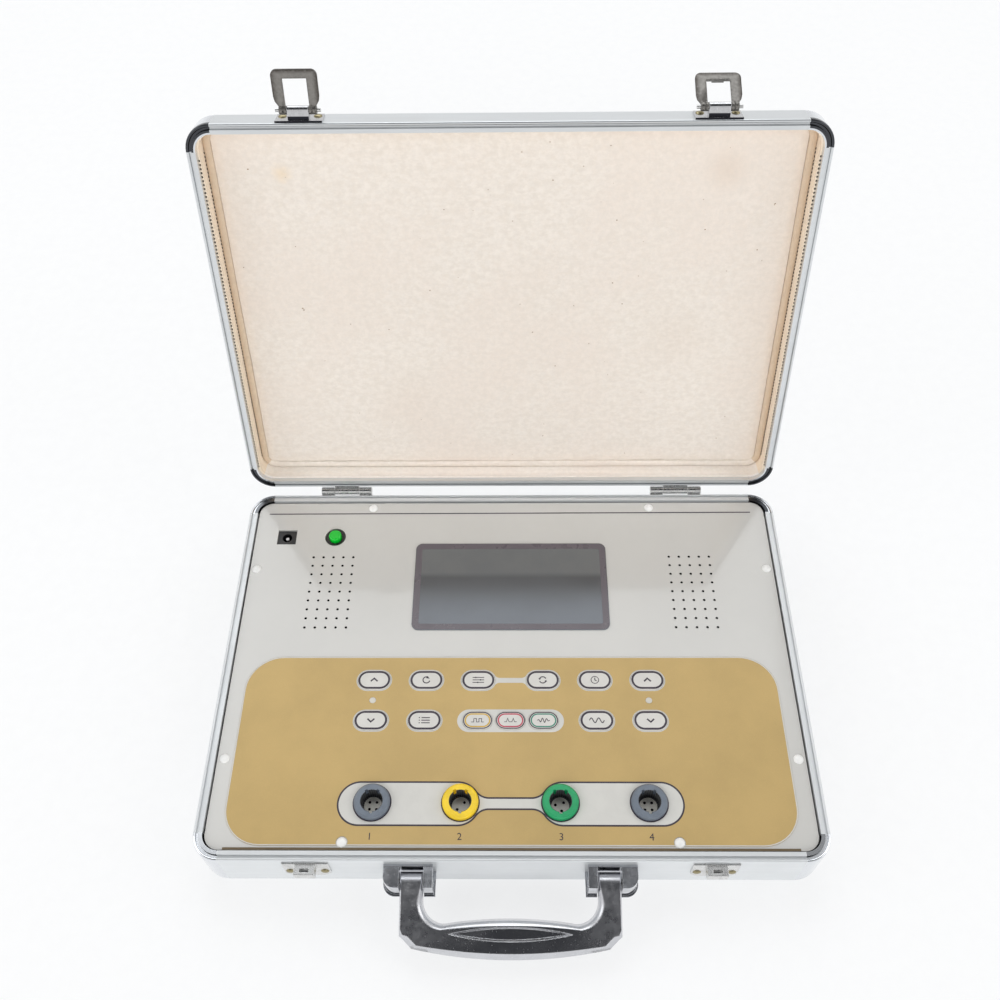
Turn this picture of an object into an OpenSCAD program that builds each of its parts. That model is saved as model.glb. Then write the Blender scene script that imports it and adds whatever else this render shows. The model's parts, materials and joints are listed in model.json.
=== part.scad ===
// Portable nerve stimulator built into a small aluminium attache case.
// The origin is the centre of the underside, +Z is up, the hinge is at +Y and the handle at -Y.
// The pieces are drawn as the case stands open: lid back at its stop, handle down, hasps out.

/* [Case] */
// Width of the case over its side walls
case_w = 324; // [268:1:400]
// Depth of the case over its front and back walls
case_d = 227; // [222:1:290]
// Height of the base shell from the underside to the top of its rim
base_h = 37; // [34:1:60]
// Depth of the lid shell from its rim to its outer skin
lid_h = 20; // [18:1:40]
// Outer radius of the upright corners
corner_r = 14; // [13.5:0.5:20]
// Radius of the rounded long edges
edge_r = 7; // [5.5:0.5:7.3]
// Wall thickness of the aluminium profile
wall_t = 1.6; // [1.2:0.1:2]
// Thickness of the floor panel and of the lid's outer skin
skin_t = 2; // [1.5:0.1:3]
// Width of the flange that holds the floor panel, from the outer face
flange_w = 12.5; // [11:0.5:13.4]
// How far the lid stands open at its stop, in degrees
lid_open = 105.5; // [90:0.5:120]
// Gap between the two rims when the lid is shut
rim_gap = 0.3; // [0.2:0.1:0.6]

/* [Rim] */
// Width of the rim
rim_w = 5; // [4.4:0.1:6]
// Height of the rim section
rim_h = 3.2; // [2.6:0.1:4]
// Width of the rounded outer ridge
outer_ridge_w = 1.7; // [1.2:0.1:1.9]
// Width of the flat inner ridge
inner_ridge_w = 2.1; // [1.6:0.1:2.3]
// Depth of the groove between the ridges
groove_depth = 1.3; // [0.8:0.1:1.6]
// How far the outer ridge lies below the inner one
outer_ridge_drop = 0.4; // [0.2:0.1:0.8]

/* [Panel] */
// Thickness of the control panel
panel_t = 2; // [1.6:0.1:3]
// How far the panel lies below the rim
panel_drop = 1.6; // [1.2:0.1:3]
// Gap between the panel and the rim
panel_gap = 0.8; // [0.5:0.1:1.5]
// Corner radius of the panel
panel_r = 12; // [9:0.5:15]
// Thickness of the gold keypad film
film_t = 0.35; // [0.2:0.05:0.6]
// Distance from the panel's side edge to the film
film_side = 8.6; // [7:0.1:14]
// Distance from the panel's front edge to the film
film_front = 2.2; // [1:0.1:3]
// Depth of the film from front to back
film_d = 106; // [100:1:108]
// Corner radius of the film
film_r = 20; // [8:1:30]

/* [Panel screws] */
// Radius of a screw's white head
screw_head_r = 2.75; // [2.2:0.05:3]
// Height of a screw's head
screw_head_h = 1.1; // [0.8:0.1:1.6]
// Radius of a screw's shank
screw_r = 1.4; // [1.1:0.1:1.7]
// Length of a screw below its head
screw_len = 10; // [7:0.5:16]
// Distance of a screw from the panel's edge
screw_inset = 3.9; // [3.4:0.1:5]
// Offset of the front and back screws from the middle
long_screw_x = 85.6; // [75:0.1:100]
// Offset of the side screws from the middle
side_screw_y = 59.4; // [40:0.1:75]
// Radius of the posts that carry the panel
post_r = 3; // [2.4:0.1:3.4]

/* [Display] */
// Width of the display lens
lens_w = 114.4; // [100:0.1:120]
// Depth of the display lens from front to back
lens_d = 59.2; // [50:0.1:62]
// Corner radius of the lens
lens_r = 4; // [2:0.5:8]
// Thickness of the lens
lens_t = 0.5; // [0.3:0.1:1]
// Width of the printed border round the display
lens_border = 3.9; // [2:0.1:6]
// Distance from the panel's back edge to the middle of the display
lens_back = 60.2; // [52:0.1:62]
// Depth of the display module below the panel
lcd_h = 7; // [5:0.5:10]
// How far the display's board reaches past its bezel
lcd_board_rim = 3; // [1:0.5:6]

/* [Grilles] */
// Columns of holes in a grille
grille_cols = 5; // [3:1:6]
// Rows of holes in a grille
grille_rows = 9; // [5:1:9]
// Pitch of the holes
grille_pitch = 6; // [5:0.1:6.5]
// Radius of one hole
grille_hole_r = 0.75; // [0.5:0.05:1]
// Distance from the panel's side edge to the middle of a grille
grille_side = 49.2; // [46:0.1:55]
// Distance from the panel's back edge to the middle of a grille
grille_back = 64; // [60:0.1:70]
// Radius of the speaker below the left grille
speaker_r = 25; // [20:0.5:27]
// Height of the speaker
speaker_h = 9; // [6:0.5:14]

/* [Power inlet and switch] */
// Width of the inlet's cut-out
inlet_w = 11.5; // [10:0.1:13]
// Depth of the inlet's cut-out from front to back
inlet_d = 10.4; // [9.5:0.1:12]
// Distance from the panel's side edge to the inlet
inlet_side = 19.3; // [14:0.1:25]
// Distance from the panel's back edge to the inlet and the switch
inlet_back = 25.4; // [20:0.1:28]
// Radius of the inlet's bore
inlet_bore_r = 2.9; // [2.75:0.05:3.2]
// Depth of the inlet's bore
inlet_bore_depth = 9; // [7:0.5:11]
// Radius of the inlet's centre pin
inlet_pin_r = 1.05; // [0.8:0.05:1.2]
// How far the inlet's face lies below the panel
inlet_recess = 1; // [0.5:0.1:1.5]
// Distance from the panel's side edge to the switch
switch_side = 49; // [45:0.1:60]
// Radius of the switch's hole in the panel
switch_hole_r = 6.3; // [5.8:0.1:7]
// Radius of the switch's black collar
switch_r = 5.85; // [5.2:0.05:6]
// Radius of the green cap
cap_r = 3.75; // [3:0.05:4.5]
// How far the cap stands above the panel
cap_rise = 2.6; // [2:0.1:4]
// Travel of the cap
cap_travel = 1.5; // [0.8:0.1:2]

/* [Keys] */
// Length of a key
key_l = 18.6; // [16:0.1:20]
// Width of a key
key_w = 11.6; // [9:0.1:13]
// Length of a coloured key
colour_key_l = 16.4; // [14:0.1:16.8]
// Width of a coloured key
colour_key_w = 10.4; // [8:0.1:11]
// Offset of the inner keys from the middle
key_x1 = 17.9; // [17.6:0.1:20]
// Offset of the second keys from the middle
key_x2 = 46.8; // [42:0.1:50]
// Offset of the outer keys from the middle
key_x3 = 75.9; // [70:0.1:80]
// Distance from the panel's front edge to the first row
key_row1 = 93.8; // [88:0.1:96]
// Distance from the panel's front edge to the second row
key_row2 = 69.8; // [66:0.1:72]
// How far a key stands above the film
key_rise = 0.6; // [0.3:0.1:1.2]
// Travel of a key
key_travel = 0.5; // [0.3:0.1:0.8]
// Gap round a key
key_gap = 0.3; // [0.2:0.05:0.5]
// Radius of a status light
led_r = 1.75; // [1.2:0.05:2.2]

/* [Output sockets] */
// Radius of a socket's collar
collar_r = 9.4; // [8.6:0.1:10]
// Height of a socket's collar above the panel
collar_h = 3.4; // [2.5:0.1:6]
// Radius of a socket's barrel
barrel_r = 7.4; // [7.2:0.1:8]
// Length of a socket's barrel below the panel
barrel_len = 13; // [11:0.5:14]
// Radius of a socket's bore
bore_r = 5.7; // [5:0.05:6]
// Depth of the bore down to the contact insert
bore_depth = 8; // [6:0.5:10]
// Offset of the inner sockets from the middle
socket_x1 = 25.9; // [23:0.1:30]
// Offset of the outer sockets from the middle
socket_x2 = 71.7; // [62:0.1:80]
// Distance from the panel's front edge to the sockets
socket_front = 24.4; // [20:0.1:28]

/* [Hinges] */
// Offset of a hinge from the middle
hinge_x = 103; // [85:0.5:112]
// Length of a hinge
hinge_l = 31.4; // [26:0.1:40]
// Length of the lid's knuckle
hinge_mid_l = 15; // [12:0.1:18]
// Radius of a knuckle
knuckle_r = 2.3; // [2:0.1:3]
// Radius of a hinge pin
hinge_pin_r = 1.1; // [0.8:0.05:1.3]
// Thickness of a hinge leaf
leaf_t = 1; // [0.8:0.1:1.4]
// Height of a hinge leaf
leaf_h = 9; // [8:0.5:10]

/* [Latches] */
// Offset of a latch from the middle
latch_x = 103.6; // [85:0.1:115]
// Width of a latch plate
plate_w = 23.6; // [22:0.1:28]
// Thickness of a latch plate
plate_t = 0.9; // [0.7:0.1:1.2]
// Width of the strap and of the catch block
strap_w = 10.5; // [8:0.1:11]
// Distance of the hasp's pivot from the lid's front wall
hasp_off = 5; // [4.2:0.1:6]
// Height of the hasp's pivot above the lid's rim
hasp_up = 5; // [4:0.1:6]
// Width of a hasp
hasp_w = 22.6; // [21:0.1:26]
// Length of a hasp from its pivot
hasp_l = 19.5; // [18:0.1:24]
// Thickness of a hasp
hasp_t = 1.3; // [1:0.1:1.6]
// Width of a hasp's side bars
hasp_bar = 5.4; // [4:0.1:5.5]
// Width of a hasp's end bar
hasp_end = 4.3; // [3:0.1:5]
// How far the right hasp leans back from square, in degrees
hasp_lean = 56; // [0:1:70]
// Radius of a hasp pin
hasp_pin_r = 0.9; // [0.7:0.05:1.1]
// Height of the catch block
catch_h = 5.6; // [4:0.1:6.5]
// How far the catch block stands out from the wall
catch_out = 6; // [5:0.1:7]
// Radius of a rivet's head
rivet_r = 2.2; // [1.8:0.1:2.6]
// Distance of a rivet from the middle of its latch
rivet_x = 8.9; // [8.4:0.1:10]

/* [Handle] */
// Width of the handle over its arms
handle_w = 111; // [100:0.5:130]
// Reach of the handle from its pivot
handle_reach = 36; // [33:0.5:44]
// Width of an arm
arm_w = 11.2; // [9.5:0.1:14]
// Thickness of the handle
handle_t = 10.5; // [9:0.1:10.6]
// How far the handle droops below the level, in degrees
handle_droop = 21; // [15:1:25]
// Height of the pivot above the underside
pivot_h = 24; // [22:0.1:25]
// Distance of the pivot from the front wall
pivot_off = 6.8; // [6.7:0.1:8.5]
// Radius of a handle pin
handle_pin_r = 1.75; // [1.4:0.05:2]
// Width of the bevel along the handle's front edge
handle_bevel = 4; // [2:0.1:4.5]
// Width of a bracket's inner cheek
cheek_in = 4.8; // [4:0.1:8]
// Width of a bracket's outer cheek
cheek_out = 8.1; // [6.5:0.1:10]
// Height of a bracket
bracket_h = 13.6; // [12:0.1:14]

/* [Hidden] */
$fn = 64;
eps = 0.01;
run_gap = 0.05;
side_gap = 0.3;
seat_gap = 0.1;

half_w = case_w / 2;
half_d = case_d / 2;
lid_rim_z = base_h + rim_gap;
lid_top_z = lid_rim_z + lid_h;
channel_t = edge_r + wall_t + 0.4;
flange_z = skin_t + wall_t;
corner_rim_w = rim_w - inner_ridge_w;

// Control panel levels and outline
panel_z = base_h - panel_drop;
panel_under = panel_z - panel_t;
film_z = panel_z + film_t;
panel_w = case_w - 2 * (rim_w + panel_gap);
panel_d = case_d - 2 * (rim_w + panel_gap);
film_w = panel_w - 2 * film_side;
panel_front = -panel_d / 2;
panel_back = panel_d / 2;
panel_left = -panel_w / 2;
panel_screw_xy = concat(
    [for (sx = [-1, 1], sy = [-1, 1]) [sx * long_screw_x, sy * (panel_d / 2 - screw_inset)]],
    [for (sx = [-1, 1], sy = [-1, 1]) [sx * (panel_w / 2 - screw_inset), sy * side_screw_y]]);

// Places on the panel
lens_y = panel_back - lens_back;
grille_x = panel_w / 2 - grille_side;
grille_y = panel_back - grille_back;
inlet_xy = [panel_left + inlet_side, panel_back - inlet_back];
switch_xy = [panel_left + switch_side, panel_back - inlet_back];
row1_y = panel_front + key_row1;
row2_y = panel_front + key_row2;
led_y = (row1_y + row2_y) / 2;
socket_y = panel_front + socket_front;
socket_x = [-socket_x2, -socket_x1, socket_x1, socket_x2];
top_key_x = [-key_x3, -key_x2, -key_x1, key_x1, key_x2, key_x3];
low_key_x = [-key_x3, -key_x2, key_x2, key_x3];
colour_key_x = [-key_x1, 0, key_x1];
all_key_xy = concat([for (x = top_key_x) [x, row1_y]], [for (x = low_key_x) [x, row2_y]],
    [for (x = colour_key_x) [x, row2_y]]);

// Keys, their board and the main board
key_flange = 0.5;
key_flange_t = 1;
key_stem_r = 2;
key_stem_l = 1;
key_flange_z = panel_under - side_gap - key_flange_t;
key_stem_z = key_flange_z - key_stem_l;
board_t = 1.6;
switch_h = 3;
switch_w = 6;
key_board_z = key_stem_z - key_travel - seat_gap - switch_h - board_t;
key_board_w = 2 * key_x3 + 32;
key_board_d = key_row1 - key_row2 + 22;
key_post_r = 2;
key_post_x = key_x3 + 13;
key_post_y = key_board_d / 2 - 3;
main_board_w = 2 * socket_x2 + 60;
main_board_d = 88;
main_board_y = panel_front + 62;
standoff_h = 5;
standoff_r = 3;
main_board_z = skin_t + standoff_h;
coil_w = 18;
coil_d = 16;
coil_h = 9;
coil_y = main_board_y - 4;
board_screw_r = 1.2;
board_head_r = 2.4;
board_head_h = 1.4;

// Hinge axis and knuckles
hinge_out = knuckle_r + 0.4;
hinge_y = half_d + hinge_out;
hinge_z = base_h + rim_gap / 2;
knuckle_gap = 0.3;
leaf_clear = knuckle_r + 0.3;

// Hasp pivot with the lid shut, and the catch block below it
hasp_y = -half_d - hasp_off;
hasp_z = lid_rim_z + hasp_up;
strap_r = 2.2;
plate_h = 10.5;
plate_low = 1.4;
hasp_window_w = hasp_w - 2 * hasp_bar;
hasp_window_end = hasp_l - hasp_end;
catch_bottom = hasp_z - hasp_window_end + 0.7;
catch_plate_h = 18;
catch_plate_top = base_h - 3;
rivet_lift = 0.9;
catch_rivet_z = catch_plate_top - catch_plate_h / 2 - 2;
latch_rivet_z = lid_rim_z + plate_low + plate_h / 2 + 1.5;
rivet_shank_r = rivet_r / 2;
base_leaf_rivet_z = hinge_z - leaf_clear - leaf_h / 2;
lid_leaf_rivet_z = hinge_z + leaf_clear + leaf_h / 2;

// Handle pivot, arms and brackets
pivot_y = -half_d - pivot_off;
arm_x = handle_w / 2 - arm_w / 2;
hub_r = handle_t / 2 - 0.1;
slot_gap = 0.4;
slot_in_gap = 0.5;
chamfer_x = 6.2;
bow = 5;
chamfer_v = 6;
grip_inner = 17.5;
grip_dip = 2.6;
grip_dip_x = 34;
inner_r = 11;
lens_half = 30.5;
lens_half_d = 3;
lens_v = 24.6;
lens_cut = 1.2;
bracket_back_t = 1.2;
bracket_out = pivot_off + 4.8;
foot_t = 1.3;
foot_rim = 0.9;
bracket_low = pivot_h - 5.6;
bracket_in_x = arm_x - arm_w / 2 - slot_in_gap - cheek_in;
bracket_out_x = arm_x + arm_w / 2 + slot_gap + cheek_out;
bracket_r = 6;

// Lid lining, measured down from the outer skin
lining_t = 1.8;
side_lining_t = 1.2;
side_lining_in = rim_w - 0.2;
trim_w = 4.1;
lining_in = side_lining_in + seat_gap + trim_w + seat_gap;

// Rectangle with round corners, centred
module round_rect(w, d, r) {
    square([w - 2 * r, d], center = true);
    square([w, d - 2 * r], center = true);
    for (sx = [-1, 1], sy = [-1, 1]) {
        translate([sx * (w / 2 - r), sy * (d / 2 - r)]) circle(r);
    }
}

// Pill outline, long along X
module pill(l, w) {
    square([l - w, w], center = true);
    for (sx = [-1, 1]) translate([sx * (l - w) / 2, 0]) circle(w / 2);
}

// Section of the aluminium profile: x runs inward from the outer face, y up from the skin
module shell_profile(h, rim) {
    bead_r = outer_ridge_w / 2;
    intersection() {
        translate([edge_r, edge_r]) difference() {
            circle(edge_r);
            circle(edge_r - wall_t);
        }
        square([edge_r, edge_r]);
    }
    translate([0, edge_r - eps]) square([wall_t, h - rim_h - edge_r + 2 * eps]);
    translate([edge_r - eps, 0]) square([channel_t - edge_r + eps, wall_t]);
    translate([channel_t - wall_t, 0]) square([wall_t, flange_z]);
    translate([channel_t - wall_t, skin_t]) square([flange_w - channel_t + wall_t, wall_t]);
    translate([0, h - rim_h]) square([rim, rim_h - groove_depth]);
    if (rim == rim_w) translate([rim_w - inner_ridge_w, h - rim_h]) square([inner_ridge_w, rim_h]);
    translate([0, h - rim_h]) square([outer_ridge_w, rim_h - outer_ridge_drop - bead_r]);
    translate([bead_r, h - outer_ridge_drop - bead_r]) circle(bead_r);
}

// Four straight lengths of profile, front, back, left and right
module straight_walls(h) {
    front_l = case_w - 2 * corner_r;
    side_l = case_d - 2 * corner_r;
    for (m = [0, 1]) mirror([0, m, 0]) {
        translate([-front_l / 2, -half_d, 0]) rotate([90, 0, 90]) {
            linear_extrude(front_l) shell_profile(h, rim_w);
        }
    }
    for (m = [0, 1]) mirror([m, 0, 0]) {
        translate([-half_w, side_l / 2, 0]) rotate([90, 0, 0]) {
            linear_extrude(side_l) shell_profile(h, rim_w);
        }
    }
}

// Places its child at the four upright corners, turned outward
module at_corners() {
    for (sx = [0, 1], sy = [0, 1]) mirror([sx, 0, 0]) mirror([0, sy, 0]) {
        translate([half_w - corner_r, half_d - corner_r, 0]) children();
    }
}

module corner_pieces(h) {
    at_corners() rotate_extrude(angle = 90) {
        translate([corner_r, 0]) mirror([1, 0]) shell_profile(h, corner_rim_w);
    }
}

// Black blocks inside the corner pieces, in the place of the rim's inner ridge
module corner_blocks(h, block_h) {
    outer = corner_r - corner_rim_w - seat_gap;
    at_corners() rotate_extrude(angle = 90) {
        translate([corner_r - rim_w, h - block_h]) square([outer - corner_r + rim_w, block_h]);
    }
}

// Sheet that fills the shell's underside inside the profile's channel
module skin_sheet() {
    inset = channel_t + 0.2;
    linear_extrude(skin_t) {
        round_rect(case_w - 2 * inset, case_d - 2 * inset, corner_r - channel_t);
    }
}

// Moves the lid's pieces, drawn shut, to where the lid stands open
module lid_frame() {
    translate([0, hinge_y, hinge_z]) rotate([-lid_open, 0, 0]) {
        translate([0, -hinge_y, -hinge_z]) children();
    }
}

// Lid pieces drawn up from the outer skin, turned over onto the shut rim
module lid_shell() {
    lid_frame() translate([0, 0, lid_top_z]) mirror([0, 0, 1]) children();
}

module at_latches() {
    for (sx = [-1, 1]) translate([sx * latch_x, 0, 0]) children();
}

module at_hinges() {
    for (sx = [-1, 1]) translate([sx * hinge_x, 0, 0]) children();
}

// Cylinder along X, centred
module x_cylinder(r, l) {
    rotate([0, 90, 0]) cylinder(r = r, h = l, center = true);
}

module base_walls() {
    color("gainsboro") difference() {
        straight_walls(base_h);
        at_latch_rivets(catch_rivet_z) rivet_bore(plate_t);
        at_leaf_rivets(base_leaf_rivet_z) rivet_bore(leaf_t);
    }
}

module base_corners() {
    color("silver") corner_pieces(base_h);
}

module base_corner_blocks() {
    color("dimgray") corner_blocks(base_h, rim_h + panel_t);
}

module floor_panel() {
    color("gray") skin_sheet();
}

module grille_holes() {
    span_x = (grille_cols - 1) * grille_pitch;
    span_y = (grille_rows - 1) * grille_pitch;
    for (sx = [-1, 1], i = [0 : grille_cols - 1], j = [0 : grille_rows - 1]) {
        translate([sx * grille_x - span_x / 2 + i * grille_pitch, grille_y - span_y / 2 + j * grille_pitch]) {
            circle(grille_hole_r);
        }
    }
}

module key_holes() {
    for (x = top_key_x) translate([x, row1_y]) pill(key_l + 2 * key_gap, key_w + 2 * key_gap);
    for (x = low_key_x) translate([x, row2_y]) pill(key_l + 2 * key_gap, key_w + 2 * key_gap);
    for (x = colour_key_x) translate([x, row2_y]) {
        pill(colour_key_l + 2 * key_gap, colour_key_w + 2 * key_gap);
    }
    for (sx = [-1, 1]) translate([sx * key_x3, led_y]) circle(led_r + seat_gap);
}

module panel_plate() {
    color("lightgray") translate([0, 0, panel_under]) linear_extrude(panel_t) difference() {
        round_rect(panel_w, panel_d, panel_r);
        translate([0, lens_y]) square([lens_w - 2 * lens_border, lens_d - 2 * lens_border], center = true);
        translate(inlet_xy) square([inlet_w, inlet_d], center = true);
        translate(switch_xy) circle(switch_hole_r);
        for (x = socket_x) translate([x, socket_y]) circle(barrel_r + seat_gap);
        for (p = panel_screw_xy) translate(p) circle(screw_r + seat_gap);
        grille_holes();
        key_holes();
    }
}

module keypad_film() {
    film_y = panel_front + film_front + film_d / 2;
    color("tan") translate([0, 0, panel_z]) linear_extrude(film_t) difference() {
        translate([0, film_y]) round_rect(film_w, film_d, film_r);
        for (x = socket_x) translate([x, socket_y]) circle(collar_r + seat_gap);
        for (p = panel_screw_xy) translate(p) circle(screw_head_r + side_gap);
        key_holes();
    }
}

module panel_posts() {
    color("slategray") for (p = panel_screw_xy) translate([p[0], p[1], flange_z]) difference() {
        cylinder(r = post_r, h = panel_under - flange_z);
        translate([0, 0, panel_z - screw_len - 1 - flange_z]) cylinder(r = screw_r + run_gap, h = screw_len + 1);
    }
}

module panel_screws() {
    color("white") for (p = panel_screw_xy) translate([p[0], p[1], panel_z]) {
        cylinder(r = screw_head_r, h = screw_head_h);
        translate([0, 0, -screw_len]) cylinder(r = screw_r, h = screw_len + eps);
    }
}

module lcd_lens() {
    color("slategray") translate([0, lens_y, panel_z]) linear_extrude(lens_t) round_rect(lens_w, lens_d, lens_r);
}

// Display bezel and its board, hung below the panel's opening
module lcd_module() {
    color("darkslategray") translate([0, lens_y, panel_under - lcd_h]) {
        translate([0, 0, board_t - eps]) linear_extrude(lcd_h - board_t + eps) square([lens_w, lens_d], center = true);
        linear_extrude(board_t) {
            square([lens_w + 2 * lcd_board_rim, lens_d + 2 * lcd_board_rim], center = true);
        }
    }
}

// Output socket: collar on the panel, barrel through it, keyed bore down to the insert
module output_socket(x) {
    key_w1 = 1.6;
    key_out = 0.9;
    collar_edge = 0.8;
    translate([x, socket_y, panel_z]) difference() {
        union() {
            rotate_extrude() polygon([[0, 0], [collar_r, 0], [collar_r, collar_h - collar_edge],
                [collar_r - collar_edge, collar_h], [0, collar_h]]);
            translate([0, 0, -barrel_len]) cylinder(r = barrel_r, h = barrel_len + eps);
        }
        translate([0, 0, collar_h - bore_depth]) cylinder(r = bore_r, h = bore_depth + 1);
        translate([0, 0, -barrel_len - 1]) cylinder(r = bore_r - 1, h = barrel_len + collar_h);
        for (a = [60, 120, 270]) rotate([0, 0, a]) {
            translate([0, -key_w1 / 2, collar_h - bore_depth / 2]) cube([bore_r + key_out, key_w1, bore_depth]);
        }
    }
}

module out1_socket() {
    color("slategray") output_socket(socket_x[0]);
}

module out2_socket() {
    color("gold") output_socket(socket_x[1]);
}

module out3_socket() {
    color("mediumseagreen") output_socket(socket_x[2]);
}

module out4_socket() {
    color("slategray") output_socket(socket_x[3]);
}

// Contact inserts at the foot of the bores, with one contact hole more or less by output
module socket_inserts() {
    insert_h = barrel_len + collar_h - bore_depth;
    contact_r = 0.75;
    contact_ring = 2.6;
    contact_depth = 4;
    contacts = [4, 2, 3, 4];
    color("antiquewhite") for (i = [0 : 3]) {
        translate([socket_x[i], socket_y, panel_z + collar_h - bore_depth - insert_h]) difference() {
            cylinder(r = bore_r - 1, h = insert_h);
            for (k = [0 : contacts[i] - 1]) rotate([0, 0, 45 + k * 360 / contacts[i]]) {
                translate([contact_ring, 0, insert_h - contact_depth]) cylinder(r = contact_r, h = contact_depth + 1);
            }
        }
    }
}

module socket_nuts() {
    nut_r = 10.5;
    nut_h = 2.5;
    color("silver") for (x = socket_x) translate([x, socket_y, panel_under - nut_h]) difference() {
        cylinder(r = nut_r, h = nut_h, $fn = 6);
        translate([0, 0, -1]) cylinder(r = barrel_r + run_gap, h = nut_h + 2);
    }
}

// Switch body: collar in the panel's hole, shoulder below the panel, bore for the cap
module power_switch_body() {
    shoulder = 1.4;
    shoulder_t = 1.5;
    body_l = 16;
    collar_recess = 0.6;
    cap_bore_depth = cap_travel + 5;
    translate([switch_xy[0], switch_xy[1], 0]) color("black") difference() {
        union() {
            translate([0, 0, panel_z - body_l]) cylinder(r = switch_r, h = body_l - collar_recess);
            translate([0, 0, panel_under - shoulder_t]) cylinder(r = switch_hole_r + shoulder, h = shoulder_t);
        }
        translate([0, 0, panel_z - cap_bore_depth]) cylinder(r = cap_r + side_gap, h = cap_bore_depth + 1);
    }
}

module power_button() {
    cap_edge = 0.5;
    cap_l = cap_rise + 4.4;
    color("limegreen") translate([switch_xy[0], switch_xy[1], panel_z + cap_rise - cap_l]) rotate_extrude() {
        polygon([[0, 0], [cap_r, 0], [cap_r, cap_l - cap_edge], [cap_r - cap_edge, cap_l], [0, cap_l]]);
    }
}

// Inlet body: face just below the panel, shoulder under it, bore round the centre pin
module dc_inlet_body() {
    edge_gap = 0.25;
    shoulder = 1.2;
    body_l = 13;
    face_z = panel_z - inlet_recess;
    color("black") translate([inlet_xy[0], inlet_xy[1], 0]) difference() {
        union() {
            translate([0, 0, panel_z - body_l]) linear_extrude(body_l - inlet_recess) {
                square([inlet_w - 2 * edge_gap, inlet_d - 2 * edge_gap], center = true);
            }
            translate([0, 0, panel_z - body_l]) linear_extrude(body_l - panel_t) {
                square([inlet_w + 2 * shoulder, inlet_d + 2 * shoulder], center = true);
            }
        }
        translate([0, 0, face_z - inlet_bore_depth]) cylinder(r = inlet_bore_r, h = inlet_bore_depth + 1);
    }
}

module dc_inlet_pin() {
    pin_l = inlet_bore_depth - 1;
    color("silver") translate([inlet_xy[0], inlet_xy[1], panel_z - inlet_recess - inlet_bore_depth]) {
        cylinder(r = inlet_pin_r, h = pin_l);
    }
}

// Key: pill through the panel, flange under it and a stem over the switch
module key_cap(p, l, w) {
    translate([p[0], p[1], 0]) {
        translate([0, 0, key_flange_z]) linear_extrude(film_z + key_rise - key_flange_z) pill(l, w);
        translate([0, 0, key_flange_z]) {
            linear_extrude(key_flange_t) pill(l + 2 * key_flange, w + 2 * key_flange);
        }
        translate([0, 0, key_stem_z]) cylinder(r = key_stem_r, h = key_stem_l + eps);
    }
}

module plain_key(p) {
    color("whitesmoke") key_cap(p, key_l, key_w);
}

module key_top_1() {
    plain_key([top_key_x[0], row1_y]);
}

module key_top_2() {
    plain_key([top_key_x[1], row1_y]);
}

module key_top_3() {
    plain_key([top_key_x[2], row1_y]);
}

module key_top_4() {
    plain_key([top_key_x[3], row1_y]);
}

module key_top_5() {
    plain_key([top_key_x[4], row1_y]);
}

module key_top_6() {
    plain_key([top_key_x[5], row1_y]);
}

module key_low_1() {
    plain_key([low_key_x[0], row2_y]);
}

module key_low_2() {
    plain_key([low_key_x[1], row2_y]);
}

module key_low_3() {
    plain_key([low_key_x[2], row2_y]);
}

module key_low_4() {
    plain_key([low_key_x[3], row2_y]);
}

module key_yellow() {
    color("yellow") key_cap([colour_key_x[0], row2_y], colour_key_l, colour_key_w);
}

module key_red() {
    color("red") key_cap([colour_key_x[1], row2_y], colour_key_l, colour_key_w);
}

module key_green() {
    color("green") key_cap([colour_key_x[2], row2_y], colour_key_l, colour_key_w);
}

// Board under the keys with one switch below each
module key_board() {
    color("darkgreen") translate([0, led_y, key_board_z]) linear_extrude(board_t) difference() {
        square([key_board_w, key_board_d], center = true);
        for (sx = [-1, 1], sy = [-1, 1]) translate([sx * key_post_x, sy * key_post_y]) {
            circle(board_screw_r + run_gap);
        }
    }
    color("dimgray") for (p = all_key_xy) translate([p[0], p[1], key_board_z + board_t]) {
        linear_extrude(switch_h) square(switch_w, center = true);
    }
}

module status_leds() {
    color("ivory") for (sx = [-1, 1]) translate([sx * key_x3, led_y, key_board_z + board_t]) {
        cylinder(r = led_r, h = film_z - key_board_z - board_t);
    }
}

module speaker() {
    magnet_h = 4;
    color("dimgray") translate([-grille_x, grille_y, panel_under - speaker_h]) {
        translate([0, 0, magnet_h - eps]) cylinder(r = speaker_r, h = speaker_h - magnet_h + eps);
        cylinder(r = speaker_r / 2, h = magnet_h);
    }
}

// Calls its child at the four fixing points of the main board
module at_main_fixings() {
    fix_inset = 6;
    for (sx = [-1, 1], sy = [-1, 1]) {
        translate([sx * (main_board_w / 2 - fix_inset), main_board_y + sy * (main_board_d / 2 - fix_inset), 0]) {
            children();
        }
    }
}

module at_key_fixings() {
    for (sx = [-1, 1], sy = [-1, 1]) translate([sx * key_post_x, led_y + sy * key_post_y, 0]) children();
}

module main_board() {
    color("darkgreen") difference() {
        translate([0, main_board_y, main_board_z]) linear_extrude(board_t) {
            square([main_board_w, main_board_d], center = true);
        }
        at_main_fixings() translate([0, 0, main_board_z - 1]) {
            cylinder(r = board_screw_r + run_gap, h = board_t + 2);
        }
    }
}

module output_transformers() {
    color("darkorange") for (x = socket_x) translate([x, coil_y, main_board_z + board_t]) {
        linear_extrude(coil_h) square([coil_w, coil_d], center = true);
    }
}

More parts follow.
